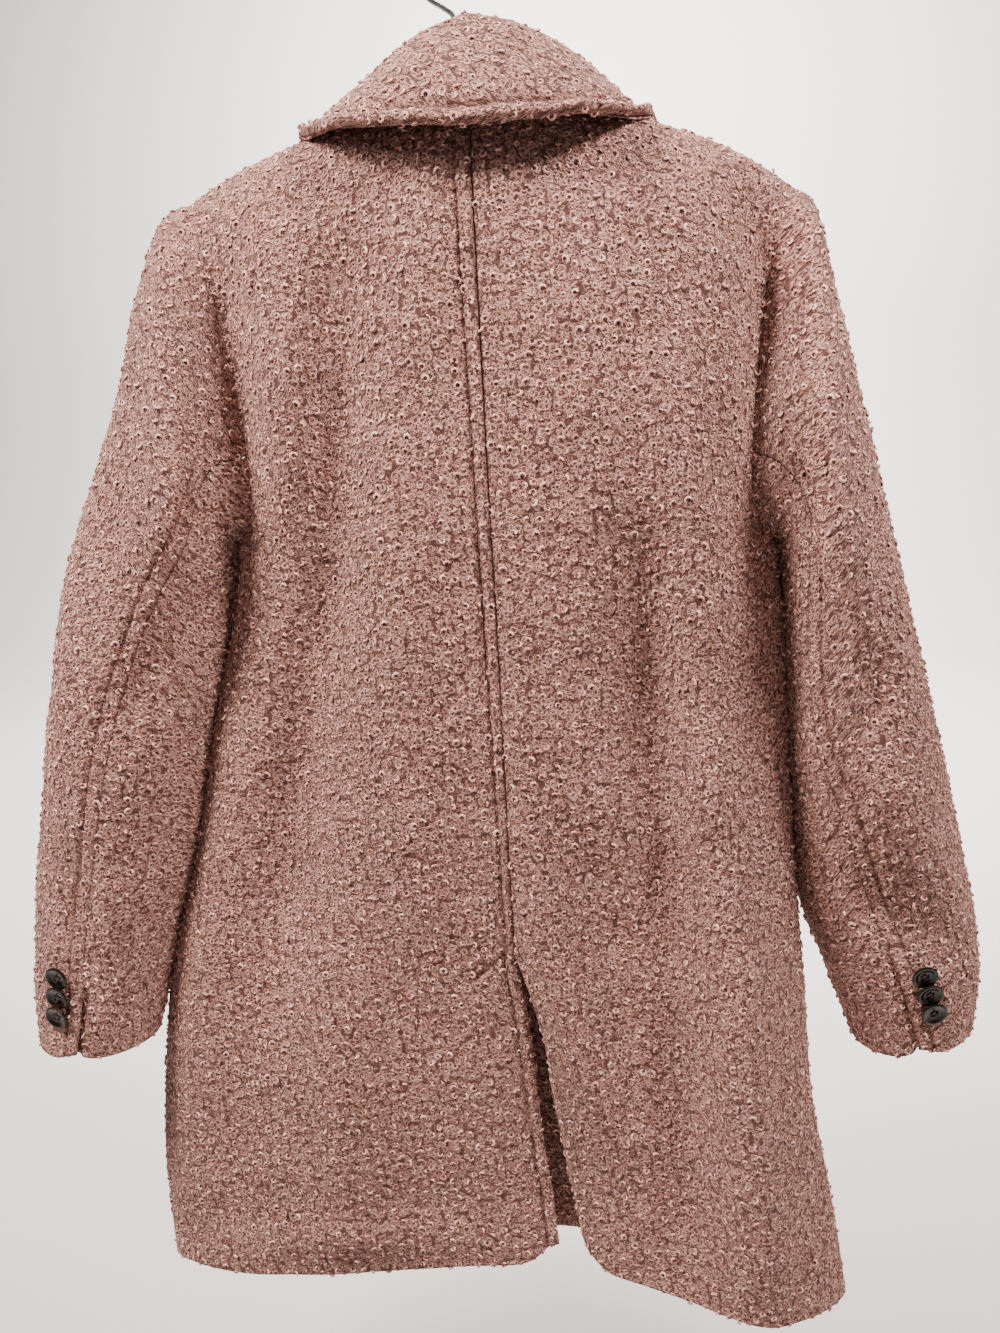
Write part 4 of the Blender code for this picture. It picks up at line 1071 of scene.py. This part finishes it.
def make_pile_group():
    """Shader group: a mat of curled wool at a place on the cloth, as a colour and a height; the colour
    carries painted shade in the gaps and along stitching, and painted highlights on the curls' tops.
    """
    tree = bpy.data.node_groups.new("curled_pile", "ShaderNodeTree")
    tree.interface.new_socket("Vector", in_out="INPUT", socket_type="NodeSocketVector")
    tree.interface.new_socket("Pressed", in_out="INPUT", socket_type="NodeSocketFloat")
    tree.interface.new_socket("Colour", in_out="OUTPUT", socket_type="NodeSocketColor")
    tree.interface.new_socket("Height", in_out="OUTPUT", socket_type="NodeSocketFloat")
    start = new_node(tree, "NodeGroupInput")
    place, pressed = start.outputs[0], start.outputs[1]
    bend = noise(tree, place, CURL_BEND[0], across="2D").outputs["Color"]
    shift = vectors(tree, "ADD", {0: bend, 1: (-0.5, -0.5, -0.5)})
    shift = vectors(tree, "SCALE", {0: shift, "Scale": CURL_BEND[1]})
    bent = vectors(tree, "ADD", {0: place, 1: shift})
    heights, tones = [], []
    for number, (scale, radius, width, strength) in enumerate(RING_LAYERS):
        moved = vectors(tree, "ADD", {0: bent, 1: (*(number * step for step in LAYER_SHIFT), 0.0)})
        cells = new_node(tree, "ShaderNodeTexVoronoi", {
            "Vector": moved, "Scale": scale, "Randomness": 0.8}, voronoi_dimensions="2D")
        tone = new_node(tree, "ShaderNodeSeparateColor", {0: cells.outputs["Color"]})
        size = plus(tree, times(tree, tone.outputs[2], CURL_SPREAD), radius - CURL_SPREAD / 2)
        off = maths(tree, "ABSOLUTE", minus(tree, cells.outputs["Distance"], size))
        ring = minus(tree, 1.0, maths(tree, "DIVIDE", off, width), clamp=True)
        level = plus(tree, times(tree, tone.outputs[0], 1 - CURL_LEAST), CURL_LEAST)
        heights.append(times(tree, ring, times(tree, level, strength)))
        tones.append(tone.outputs[1])
    height = new_node(tree, "ShaderNodeMath", {0: heights[0], 1: heights[1], 2: CURL_BLEND},
                      operation="SMOOTH_MAX").outputs[0]
    scale, middle, strength = FUZZ
    fuzz = noise(tree, bent, scale, across="2D").outputs[0]
    strand = times(tree, minus(tree, fuzz, middle), strength)
    height = plus(tree, times(tree, height, 0.85), strand)
    height = plus(tree, height, times(tree, height, times(tree, pressed, PRESSED_FLAT)))
    # Colour from loop height: painted shade in the low gaps, a painted highlight on the tops
    colour = ramp(tree, height, WOOL_AND_SHADE_STOPS)
    pale = times(tree, minus(tree, tones[0], 0.74, clamp=True), 1.8, clamp=True)
    colour = mix_colour(tree, times(tree, pale, height, clamp=True), colour, PALE_WOOL)
    brown = times(tree, minus(tree, tones[1], 0.80, clamp=True), 1.6, clamp=True)
    colour = mix_colour(tree, brown, colour, BROWN_WOOL)
    scale, strength, least = PATCHES
    patch = noise(tree, place, scale, 3.0, across="2D").outputs[0]
    tone = plus(tree, times(tree, patch, strength), least)
    # Painted shade: the colour darkens along rows of stitching and pressed edges
    tone = minus(tree, tone, times(tree, pressed, PRESSED_PAINTED_SHADE))
    colour = mix_colour(tree, 1.0, colour, grey(tree, tone), "MULTIPLY")
    new_node(tree, "NodeGroupOutput", {"Colour": colour, "Height": height})
    return tree


def set_shader(shader, **values):
    """Sets a shader's inputs; an underscore stands for a blank in the input's name."""
    for name, value in values.items():
        shader.inputs[name.replace("_", " ")].default_value = value


def wool_sheen(shader):
    set_shader(shader, Sheen_Weight=0.30, Sheen_Roughness=0.5, Sheen_Tint=(1.0, 0.72, 0.65, 1),
               Specular_IOR_Level=0.15)


def relief(tree, shader, height, distance, strength):
    """Small bumps in a finish."""
    bump = new_node(tree, "ShaderNodeBump", {
        "Height": height, "Distance": distance, "Strength": strength})
    tree.links.new(bump.outputs[0], shader.inputs["Normal"])


def own_place(tree):
    return new_node(tree, "ShaderNodeTexCoord").outputs["Object"]


def make_cloth():
    """The woven ground with its pile of loops."""
    finish, tree, shader = new_finish("pink_looped_wool", 0.95)
    place = new_node(tree, "ShaderNodeAttribute", attribute_name="weave_place")
    pressed = new_node(tree, "ShaderNodeAttribute", attribute_name="pressed")
    pile = tree.nodes.new("ShaderNodeGroup")
    pile.node_tree = PILE
    tree.links.new(place.outputs["Vector"], pile.inputs["Vector"])
    tree.links.new(pressed.outputs["Fac"], pile.inputs["Pressed"])
    tree.links.new(pile.outputs["Colour"], shader.inputs["Base Color"])
    relief(tree, shader, pile.outputs["Height"], CURL_HEIGHT, 1.0)
    wool_sheen(shader)
    return finish


def make_yarn():
    """The wool of the standing loops: pink strands of uneven tone with a fine fuzz."""
    finish, tree, shader = new_finish("wool_loop_yarn", 0.95)
    place = own_place(tree)
    colour = ramp(tree, noise(tree, place, 210.0, 1.0).outputs[0], [
        (0.28, (0.400, 0.175, 0.145)), (0.46, (0.640, 0.320, 0.268)),
        (0.60, (0.800, 0.450, 0.385)), (0.78, (1.000, 0.700, 0.615))])
    fuzz = noise(tree, place, 2400.0).outputs[0]
    shade = grey(tree, plus(tree, times(tree, fuzz, 0.7), 0.65))
    tree.links.new(mix_colour(tree, 1.0, colour, shade, "MULTIPLY"), shader.inputs["Base Color"])
    relief(tree, shader, fuzz, 0.0004, 0.8)
    wool_sheen(shader)
    return finish


def make_horn():
    """Dark marbled horn with amber streaks, polished."""
    finish, tree, shader = new_finish("marbled_horn", 0.22)
    place = own_place(tree)
    cloud = noise(tree, place, 70.0, 4.0, Distortion=1.6).outputs[0]
    colour = ramp(tree, cloud, [
        (0.30, (0.004, 0.003, 0.002)), (0.56, (0.008, 0.004, 0.003)),
        (0.68, (0.035, 0.014, 0.006)), (0.80, (0.170, 0.080, 0.024))])
    tree.links.new(colour, shader.inputs["Base Color"])
    scratch = noise(tree, place, 900.0).outputs[0]
    rough = plus(tree, times(tree, scratch, 0.18), 0.14)
    tree.links.new(rough, shader.inputs["Roughness"])
    set_shader(shader, Specular_IOR_Level=0.22, Coat_Weight=0.25, Coat_Roughness=0.06)
    return finish


def clouded(tree, shader, pattern, dark, light):
    """Colours a finish between two (place, colour) stops of a pattern."""
    tree.links.new(ramp(tree, pattern, [dark, light]), shader.inputs["Base Color"])


def make_thread():
    """Dark twisted sewing thread."""
    finish, tree, shader = new_finish("button_thread", 0.8)
    twist = noise(tree, own_place(tree), 3000.0).outputs[0]
    clouded(tree, shader, twist, (0.3, (0.03, 0.014, 0.012)), (0.7, (0.10, 0.05, 0.045)))
    return finish


def make_chrome():
    """Bright wire, a little worn."""
    finish, tree, shader = new_finish("chrome_wire", 0.12, 1.0)
    wear = noise(tree, own_place(tree), 260.0, 3.0).outputs[0]
    clouded(tree, shader, wear, (0.35, (0.62, 0.62, 0.63)), (0.65, (0.80, 0.80, 0.81)))
    rough = plus(tree, times(tree, wear, 0.22), 0.04)
    tree.links.new(rough, shader.inputs["Roughness"])
    return finish


def make_wood():
    """Beech with its grain along the bar, under a satin varnish."""
    finish, tree, shader = new_finish("satin_beech", 0.5)
    long_way = new_node(tree, "ShaderNodeMapping", {
        "Vector": own_place(tree), "Scale": (14.0, 260.0, 260.0)})
    grain = noise(tree, long_way.outputs[0], 1.0, 4.0).outputs[0]
    clouded(tree, shader, grain, (0.3, (0.30, 0.17, 0.08)), (0.7, (0.52, 0.34, 0.18)))
    relief(tree, shader, grain, 0.0002, 0.4)
    return finish


# How the weave is laid round an arm: the arm's radius and how far inside its outer edge its
# line runs; and over a sleeve's head, where the weave leans with the shoulder: by how much, and
# from and to which distance from the centre the lean runs out
ARM_RADIUS = 0.052
ARM_INSET = 0.048
HEAD_LEAN = 0.9
HEAD_FADE = (SHOULDER_HALF + 0.012, SHOULDER_HALF + 0.060)

# Each piece starts elsewhere in the weave: metres for each unit of its name's letters
WEAVE_START = 0.0137


def arm_turn(side, points, top):
    """The angle round an arm's own line, which runs a little inside its outer edge."""
    x, down = coat_place(points)
    drops, outer, middles = (
        column(SLEEVES[side], SLEEVE_COLUMNS, name) for name in ("outer_down", "outer_out", "middle"))
    out = smooth(drops, outer, down) - ARM_INSET
    turn = np.arctan2(points[..., 1] - smooth(drops, middles, down), SIGNS[side] * x - out)
    return turn if top else np.mod(turn, 2 * math.pi)


def bare(distance, at=0.0):
    """1 where the cloth is pressed flat, along a row of stitches or a pressed edge; there the finish
    darkens the colour with painted shade.
    """
    return np.exp(-(((distance - at) / SEAM_BARE) ** 4))


def dress(name, outer, inner, outwards, pressed=0.0, spacing=LOOP_SPACING, nodes=None, turn=None,
          level=True):
    """One cut piece of cloth: its shell with its pile, in place of its solid. The weave is laid
    out from the first edge and the hem, level with the hem's own height or along it; that of a
    sleeve by height and by the angle round the arm."""
    pressed = np.clip(pressed * np.ones(outer.shape[:2]), 0, 1)
    first, _, _, hem = edge_distances(outer)
    if level:
        hem = hem + outer[-1:, :, 2]
    if turn is not None:
        reach = np.abs(outer[..., 0] - COAT_X)
        lean = HEAD_LEAN * (1 - fade(*HEAD_FADE, reach))
        first, hem = ARM_RADIUS * turn, outer[..., 2] - lean * (reach - HEAD_FADE[1])
    start = sum(map(ord, name)) * WEAVE_START
    place = np.stack([first + start, hem + start, 0 * hem], axis=-1)
    piece = shell("wool_" + name, outer, inner, place, pressed)
    put_on(piece, "looped_wool", *((name,) if nodes is None else nodes))
    add_loops(name, outer, outwards, 1 - pressed, spacing)


def hem_thick(hem, turned=HEM_CLOTH):
    return CLOTH + (turned - CLOTH) * (1 - fade(0.6 * HEM_DEPTH, HEM_DEPTH, hem))


def make_back(sign):
    """A back panel with its half of the centre seam and its flap of the vent."""
    points = back_point(sign, *grid("back"))
    out = (0, 1, 0)
    x, down = coat_place(points)
    first, _, _, hem = edge_distances(points)
    thick = hem_thick(hem)
    if sign > 0:
        opened = fade(*VENT_OPENS, down)
        at = CENTRE_STITCH[0] + (CENTRE_STITCH[1] - CENTRE_STITCH[0]) * down / VENT_TOP
        at = at * (1 - opened) + FLAP_STITCH * opened
        tack = stroke(x, down, *VENT_TACK, 0, TACK_HALF)
        strip = STRIP_HEIGHT * fade(0.001, 0.003, first) * (1 - fade(at - 0.003, at - 0.001, first))
        lift = groove(first, at) + strip - TACK_DEPTH * tack
        thick = np.maximum(thick, CLOTH + FLAP_EDGE * opened * (1 - fade(*FLAP_EDGE_FADE, first)))
        pressed = bare(first, at) + bare(first) * (1 - opened) + tack
    else:
        under = LAP_SINK * (1 - fade(*LAP_STEP, first)) * above_vent(down)
        wide = VENT_ROLL[0] * fade(*VENT_WIDENS, down) + VENT_ROLL_LEAST
        off = np.clip(1 - first / wide, 0, 1)
        lift = -under - VENT_ROLL[1] * fade(*VENT_DEEPENS, down) * (1 - np.sqrt(1 - off**2))
        pressed = bare(first, CENTRE_LAP) * above_vent(down)
    outer, inner = rolled(lifted(points, out, lift), out, thick, (False, True, True, False))
    dress(f"back_{side_of(sign)}", outer, inner, out, pressed)


def make_underlap():
    """The vent's underlap, in shadow behind the two flaps."""
    u, v = grid("underlap")
    down = UNDERLAP_TOP + (HEM_BACK_RIGHT - VENT_CORNER[0] - UNDERLAP_TOP) * v
    fold = vent("fold", down)
    start = fold - UNDERLAP_PAST
    y = depth(1, fold, down) - UNDERLAP_BEHIND * fade(*UNDERLAP_SINKS, down)
    outer, inner = rolled(placed(start + (UNDERLAP - start) * u, y, down), (0, 1, 0), CLOTH)
    dress("vent_underlap", outer, inner, (0, 1, 0), nodes=())


# How the fronts swell forward of the side seams, under the arms: height, place as a share of
# the front's width, and from and to down the coat
SIDE_BELLY = {"left": (0.0135, 0.91, 0.28, 0.68), "right": (0.0030, 0.95, 0.27, 0.62)}
BELLY_HALF = 0.045
BELLY_RISE = 0.07
BELLY_FALL = 0.06


def make_front(sign):
    """A front panel with its turned, topstitched edge."""
    side = side_of(sign)
    u, v = grid("front")
    points = front_point(sign, u, v)
    out = (0, -1, 0)
    first, last, _, hem = edge_distances(points)
    _, down = coat_place(points)
    height, share, low, high = SIDE_BELLY[side]
    belly = height * np.exp(-(((u - share) / BELLY_HALF) ** 2)) * fade(low, low + BELLY_RISE, down)
    belly = belly * (1 - fade(high - BELLY_FALL, high, down)) * fade(0, 0.01, last)
    thick = np.maximum(hem_thick(hem), CLOTH + FRONT_EDGE * (1 - fade(*FRONT_EDGE_FADE, first)))
    points = lifted(points, out, groove(first, FRONT_STITCH) + belly)
    outer, inner = rolled(points, out, thick, (False, True, True, False))
    dress(f"front_{side}", outer, inner, out, bare(first, FRONT_STITCH), FRONT_LOOP_SPACING)


def make_lapel(sign):
    """A lapel, folded back on its front."""
    points = lapel_point(sign, *grid("lapel"))
    out = (0, -1, 0)
    _, last, top, _ = edge_distances(points)
    points = lifted(points, out, groove(last, FRONT_STITCH) + groove(top, FRONT_STITCH))
    outer, inner = rolled(points, out, LAPEL_CLOTH)
    pressed = bare(last, FRONT_STITCH) + bare(top, FRONT_STITCH)
    dress(f"lapel_{side_of(sign)}", outer, inner, out, pressed, FRONT_LOOP_SPACING)


# The vent in a cuff's back seam: where it starts, as a share of the sleeve's length, how far
# the under sleeve's edge runs on beneath it, as an angle, and how far its own edge stands off
CUFF_VENT = (0.875, 0.905)
CUFF_LAP = 0.15
CUFF_EDGE_LIFT = 0.0012
CUFF_UNDER_SINK = CLOTH + 0.001


def make_sleeve(side, part):
    """A sleeve's top or under piece, with its half of the vent in the cuff."""
    top = part == "top"
    sign = SIGNS[side] if top else -SIGNS[side]
    u, v = grid(part)
    ring, angle = sleeve_place(side, top, u, v)
    vented = fade(*CUFF_VENT, v)
    if not top:
        angle = angle - CUFF_LAP * vented * (1 - u) ** 6
    points = sleeve_point(side, ring, angle)
    out = (sign, 0, 0)
    first, last, cap, cuff = edge_distances(points)
    height = sleeve_relief(side, ring, angle)
    if top:
        height = height + groove(last, SLEEVE_STITCH)
        height = height + CUFF_EDGE_LIFT * vented * (1 - fade(0, 0.010, last))
        pressed = bare(last, SLEEVE_STITCH) + bare(last)
    else:
        height = height * fade(0, 0.01, cap)
        height = height - CUFF_UNDER_SINK * vented * (1 - fade(0.006, 0.011, first))
        pressed = 0.0
    thick = hem_thick(cuff, CUFF_HEM_CLOTH)
    outer, inner = rolled(lifted(points, out, height), out, thick, (True, True, True, False))
    dress(f"sleeve_{side}_{part}", outer, inner, out, pressed, turn=arm_turn(side, outer, top))


# The collar's thick rolled rim: its height, its middle from the edge and its half width, and
# where the leaf thickens towards it; and rounds of easing the folded cloth
RIM = (0.0026, 0.0050, 0.0042)
RIM_FADE = (0.007, 0.013)
COLLAR_EASE = 3


def make_collar():
    """The collar: stand, roll and leaf in one, its seam at the neck and its leaf lying over."""
    u, across = grid("collar")
    at = 2 * u - 1
    points = collar_point(at, across)
    for _ in range(COLLAR_EASE):
        points[1:-1] = (points[:-2] + 2 * points[1:-1] + points[2:]) / 4
    first, last, _, leaf = edge_distances(points)
    facing = surface_normals(points)
    if facing[-3, facing.shape[1] // 2, 1] < 0:
        facing = -facing
    edge = np.minimum(leaf, np.minimum(first, last))
    rim, middle, half = RIM
    height = 1.5 * groove(edge, COLLAR_STITCH) + rim * np.exp(-(((edge - middle) / half) ** 2))
    uneven = ripple(at * 0.26, across * 0.14, RIPPLE_STARTS["collar"])
    points = points + facing * (height + uneven * fade(0.35, 0.5, across))[..., None]
    thick = COLLAR_CLOTH + COLLAR_RIM_CLOTH * (1 - fade(*RIM_FADE, leaf))
    out = facing[len(facing) // 2, facing.shape[1] // 2]
    outer, inner = rolled(points, out, thick)
    dress("collar", outer, inner, out, bare(edge, COLLAR_STITCH), level=False)


# A button's outline from the middle of its face round to its back, as shares of its radius and
# thickness; its four holes and the strands of thread that cross between them
BUTTON_PROFILE = [
    (0.0, 0.50), (0.40, 0.50), (0.58, 0.56), (0.70, 0.78), (0.78, 0.95), (0.86, 1.0), (0.94, 0.96),
    (0.99, 0.80), (1.0, 0.60), (0.97, 0.40), (0.88, 0.10), (0.80, 0.0), (0.0, 0.0)]
BUTTON_STEPS = 36
HOLE_OUT = 0.26
HOLE_RADIUS = 0.105
STRAND_RADIUS = 0.00035
STRANDS = [(out, lift, step) for out in (-HOLE_OUT, HOLE_OUT)
           for lift, step in ((0.60, -0.03), (0.64, 0.03))]


def button_place(node):
    """Where a button's solid sits: its back's middle, turned to look the way it does."""
    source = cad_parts[node]
    points = np.array([v.co for v in source.data.vertices])
    placing = source.matrix_world
    points = points @ np.array(placing.to_3x3()).T + np.array(placing.translation)
    centre = points.mean(axis=0)
    _, _, axes = np.linalg.svd(points - centre, full_matrices=False)
    facing = Vector(axes[2])
    wanted = Vector((0, 1, 0)) if node.startswith("cuff") else Vector((0, -1, 0))
    if facing.dot(wanted) < 0:
        facing = -facing
    reach = (points - centre) @ np.array(facing)
    turn = facing.to_track_quat("Z", "Y").to_matrix().to_4x4()
    turn.translation = Vector(centre) + facing * float(reach.min())
    return turn


def rod(work, segments, radius, length, place):
    bmesh.ops.create_cone(work, cap_ends=True, segments=segments, radius1=radius, radius2=radius,
                          depth=length, matrix=place)


def make_button(node, size):
    """A four-hole horn button over its CAD solid: turned, rimmed, with its thread."""
    radius, thick = size
    turn = button_place(node)
    work = bmesh.new()
    line = [work.verts.new((r * radius, 0, z * thick)) for r, z in BUTTON_PROFILE]
    edges = [work.edges.new(pair) for pair in zip(line, line[1:], strict=False)]
    bmesh.ops.spin(work, geom=line + edges, cent=(0, 0, 0), axis=(0, 0, 1), angle=2 * math.pi,
                   steps=BUTTON_STEPS, use_merge=True)
    bmesh.ops.remove_doubles(work, verts=work.verts, dist=1e-6)
    bmesh.ops.recalc_face_normals(work, faces=work.faces)
    button = new_object("horn_" + node, mesh_of(work, "horn_" + node))
    holes = bmesh.new()
    for corner in range(4):
        round_to = Matrix.Rotation(math.pi / 4 + corner * math.pi / 2, 4, "Z")
        place = round_to @ Matrix.Translation((radius * HOLE_OUT, 0, thick * 0.3))
        rod(holes, 12, radius * HOLE_RADIUS, thick * 2, place)
    cutter = new_object("holes", mesh_of(holes, "holes"))
    drill = button.modifiers.new("holes", "BOOLEAN")
    drill.operation, drill.object, drill.solver = "DIFFERENCE", cutter, "EXACT"
    cut = grown(button)
    button.modifiers.clear()
    button.data = cut
    bpy.data.objects.remove(cutter)
    cut.materials.clear()
    cut.materials.append(HORN)
    cut.transform(turn)
    cut.shade_smooth()
    cut.set_sharp_from_angle(angle=math.radians(35))
    put_on(button, "horn", node)
    strands = bmesh.new()
    lying = Matrix.Rotation(math.pi / 2, 4, "Y")
    for out, lift, step in STRANDS:
        aside = Matrix.Translation((0, radius * (out * 0.7071 + step), thick * lift))
        rod(strands, 6, STRAND_RADIUS, radius * 0.50,
            Matrix.Rotation(math.pi / 4, 4, "Z") @ aside @ lying)
    thread = mesh_of(strands, "thread_" + node)
    thread.transform(turn)
    thread.materials.append(THREAD)
    thread.shade_smooth()
    put_on(new_object("thread_" + node, thread), "horn")


def tube(name, points, radius, finish, slot, node):
    """A round bar or wire through points, its ends capped flat."""
    path = bpy.data.curves.new(name, "CURVE")
    path.dimensions = "3D"
    path.bevel_depth = radius
    path.bevel_resolution = 8
    path.use_fill_caps = True
    line = path.splines.new("POLY")
    line.points.add(len(points) - 1)
    for place, point in zip(line.points, points, strict=True):
        place.co = (*point, 1)
    line.use_smooth = True
    holder = new_object(name, path)
    mesh = grown(holder)
    bpy.data.objects.remove(holder)
    mesh.materials.clear()
    mesh.materials.append(finish)
    mesh.shade_smooth()
    mesh.set_sharp_from_angle(angle=math.radians(50))
    put_on(new_object(name, mesh), slot, node)


# The hook's stem: its straight top below the loop's middle, then the bend into the loop as
# (out, below), and the loop's turn in degrees
STEM_TOP = 0.034
STEM_BEND = [(0.0003, 0.0316), (0.0012, 0.0293), (0.0027, 0.0272), (0.0048, 0.0255)]
LOOP_TURN = (-63, 205)


def make_hanger():
    """The wooden bar, turned down along the shoulders, and the wire hook in its middle."""
    x = np.linspace(-BAR_HALF, BAR_HALF, 61) - COAT_X
    bar = placed(x, 0 * x, bar_down(x))
    tube("wooden_bar", bar.tolist(), BAR_RADIUS, WOOD, "hanger_wood", "hanger_bar")
    foot = float(np.interp(0, bar[:, 0], bar[:, 2])) + BAR_RADIUS + 0.0004
    centre = -HOOK_RADIUS + WIRE_RADIUS
    bend = centre - STEM_TOP
    stem = [(0, 0, foot), (0, 0, (foot + bend) / 2), (0, 0, bend)]
    stem += [(out, 0, centre - below) for out, below in STEM_BEND]
    turns = np.radians(np.linspace(*LOOP_TURN, 72))
    loop = [(HOOK_RADIUS * math.cos(t), 0, centre + HOOK_RADIUS * math.sin(t)) for t in turns]
    tube("wire_hook", stem + loop, WIRE_RADIUS, CHROME, "hook_chrome", "hanger_hook")


def bar_down(x):
    """The hanger's bar lies just under the shoulders' ridge."""
    level = np.maximum(ridge_down(x), ridge_down(BAR_LEVEL_HALF) - BAR_NECK_RISE)
    return level + CLOTH + BAR_RADIUS + BAR_GAP


# Camera: where it stands, its heading, pitch, roll and lens
CAMERA_PLACE = (-0.0967, 0.6998, -0.3375)
CAMERA_HEADING = 7.5
CAMERA_PITCH = 11.0
CAMERA_ROLL = 3.24
CAMERA_LENS = 27.03


def make_camera():
    """The photograph's view: a wide lens close behind the coat."""
    data = bpy.data.cameras.new("view")
    data.lens = CAMERA_LENS
    data.sensor_width = 36
    data.clip_start = 0.01
    camera = new_object("view", data)
    heading, pitch, roll = (math.radians(a) for a in (CAMERA_HEADING, CAMERA_PITCH, CAMERA_ROLL))
    level = Vector((math.sin(heading), -math.cos(heading), 0))
    forward = level * math.cos(pitch) - Vector((0, 0, 1)) * math.sin(pitch)
    right = Vector((-math.cos(heading), -math.sin(heading), 0))
    up = right.cross(forward)
    right, up = (right * math.cos(roll) - up * math.sin(roll),
                 right * math.sin(roll) + up * math.cos(roll))
    camera.matrix_world = Matrix((
        (right.x, up.x, -forward.x, CAMERA_PLACE[0]),
        (right.y, up.y, -forward.y, CAMERA_PLACE[1]),
        (right.z, up.z, -forward.z, CAMERA_PLACE[2]),
        (0, 0, 0, 1)))
    bpy.context.scene.camera = camera


def lamp(name, place, aim, size, power, colour):
    """A round soft lamp."""
    data = bpy.data.lights.new(name, "AREA")
    data.shape, data.size, data.energy, data.color = "DISK", size, power, colour
    light = new_object(name, data)
    light.location = place
    light.rotation_euler = (Vector(aim) - Vector(place)).to_track_quat("-Z", "Y").to_euler()


# The stage: the floor's height, front edge and half width, the place and radius of the curve
# in which it rises, and the top of the wall behind it
FLOOR_Z = -1.22
FLOOR_FRONT = 5.0
FLOOR_HALF = 7
COVE_START = -3.6
COVE_RADIUS = 1.6
WALL_TOP = 4.5

# Lamps: name, place, aim, size, power and colour
LAMPS = [
    ("key", (0.80, 0.50, 0.72), (0, 0, -0.30), 0.34, 46, (1.0, 0.925, 0.86)),
    ("fill_left", (1.15, 0.45, 0.45), (0, 0, -0.3), 0.4, 12, (1.0, 0.96, 0.92)),
    ("fill_right", (-0.80, 0.42, 0.62), (-0.15, 0, -0.15), 0.34, 34, (1.0, 0.945, 0.89)),
    ("front", (-0.7, -2.0, 0.8), (0, 0, -0.5), 1.2, 36, (1.0, 0.96, 0.92)),
    ("backdrop", (0.0, -2.0, 2.2), (0, -5.0, -0.3), 2.0, 960, (1.0, 0.98, 0.95)),
]


def make_stage():
    """A pale floor, plain soft lamps and pale surroundings."""
    turns = np.radians(np.linspace(0, 90, 19))
    run = [(FLOOR_FRONT, FLOOR_Z)]
    run += [(COVE_START - COVE_RADIUS * math.sin(t), FLOOR_Z + COVE_RADIUS * (1 - math.cos(t)))
            for t in turns]
    run.append((COVE_START - COVE_RADIUS, WALL_TOP))
    corners = [(x, y, z) for y, z in run for x in (-FLOOR_HALF, FLOOR_HALF)]
    faces = quads(np.arange(len(corners)).reshape(-1, 2))
    mesh = bpy.data.meshes.new("floor")
    mesh.from_pydata(corners, [], faces.tolist())
    mesh.shade_smooth()
    finish, _, shader = new_finish("pale_floor", 0.85)
    set_shader(shader, Base_Color=(0.60, 0.575, 0.54, 1))
    mesh.materials.append(finish)
    new_object("floor", mesh)
    world = bpy.data.worlds.new("surroundings")
    world.use_nodes = True
    sky = world.node_tree.nodes["Background"]
    sky.inputs[0].default_value = (0.86, 0.85, 0.83, 1)
    sky.inputs[1].default_value = 0.21
    bpy.context.scene.world = world
    for row in LAMPS:
        lamp(*row)


PILE = make_pile_group()
CLOTH_FINISH = make_cloth()
LOOP_YARN = make_yarn()
HORN = make_horn()
THREAD = make_thread()
CHROME = make_chrome()
WOOD = make_wood()
LOOP_TREE = make_loop_tree()


def main():
    make_camera()
    make_stage()
    for sign in (1, -1):
        make_back(sign)
        make_front(sign)
        make_lapel(sign)
    make_underlap()
    make_collar()
    for side in SLEEVES:
        make_sleeve(side, "top")
        make_sleeve(side, "under")
    for name in sorted(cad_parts):
        if "button" in name:
            make_button(name, CUFF_BUTTON if name.startswith("cuff") else FRONT_BUTTON)
    make_hanger()


main()
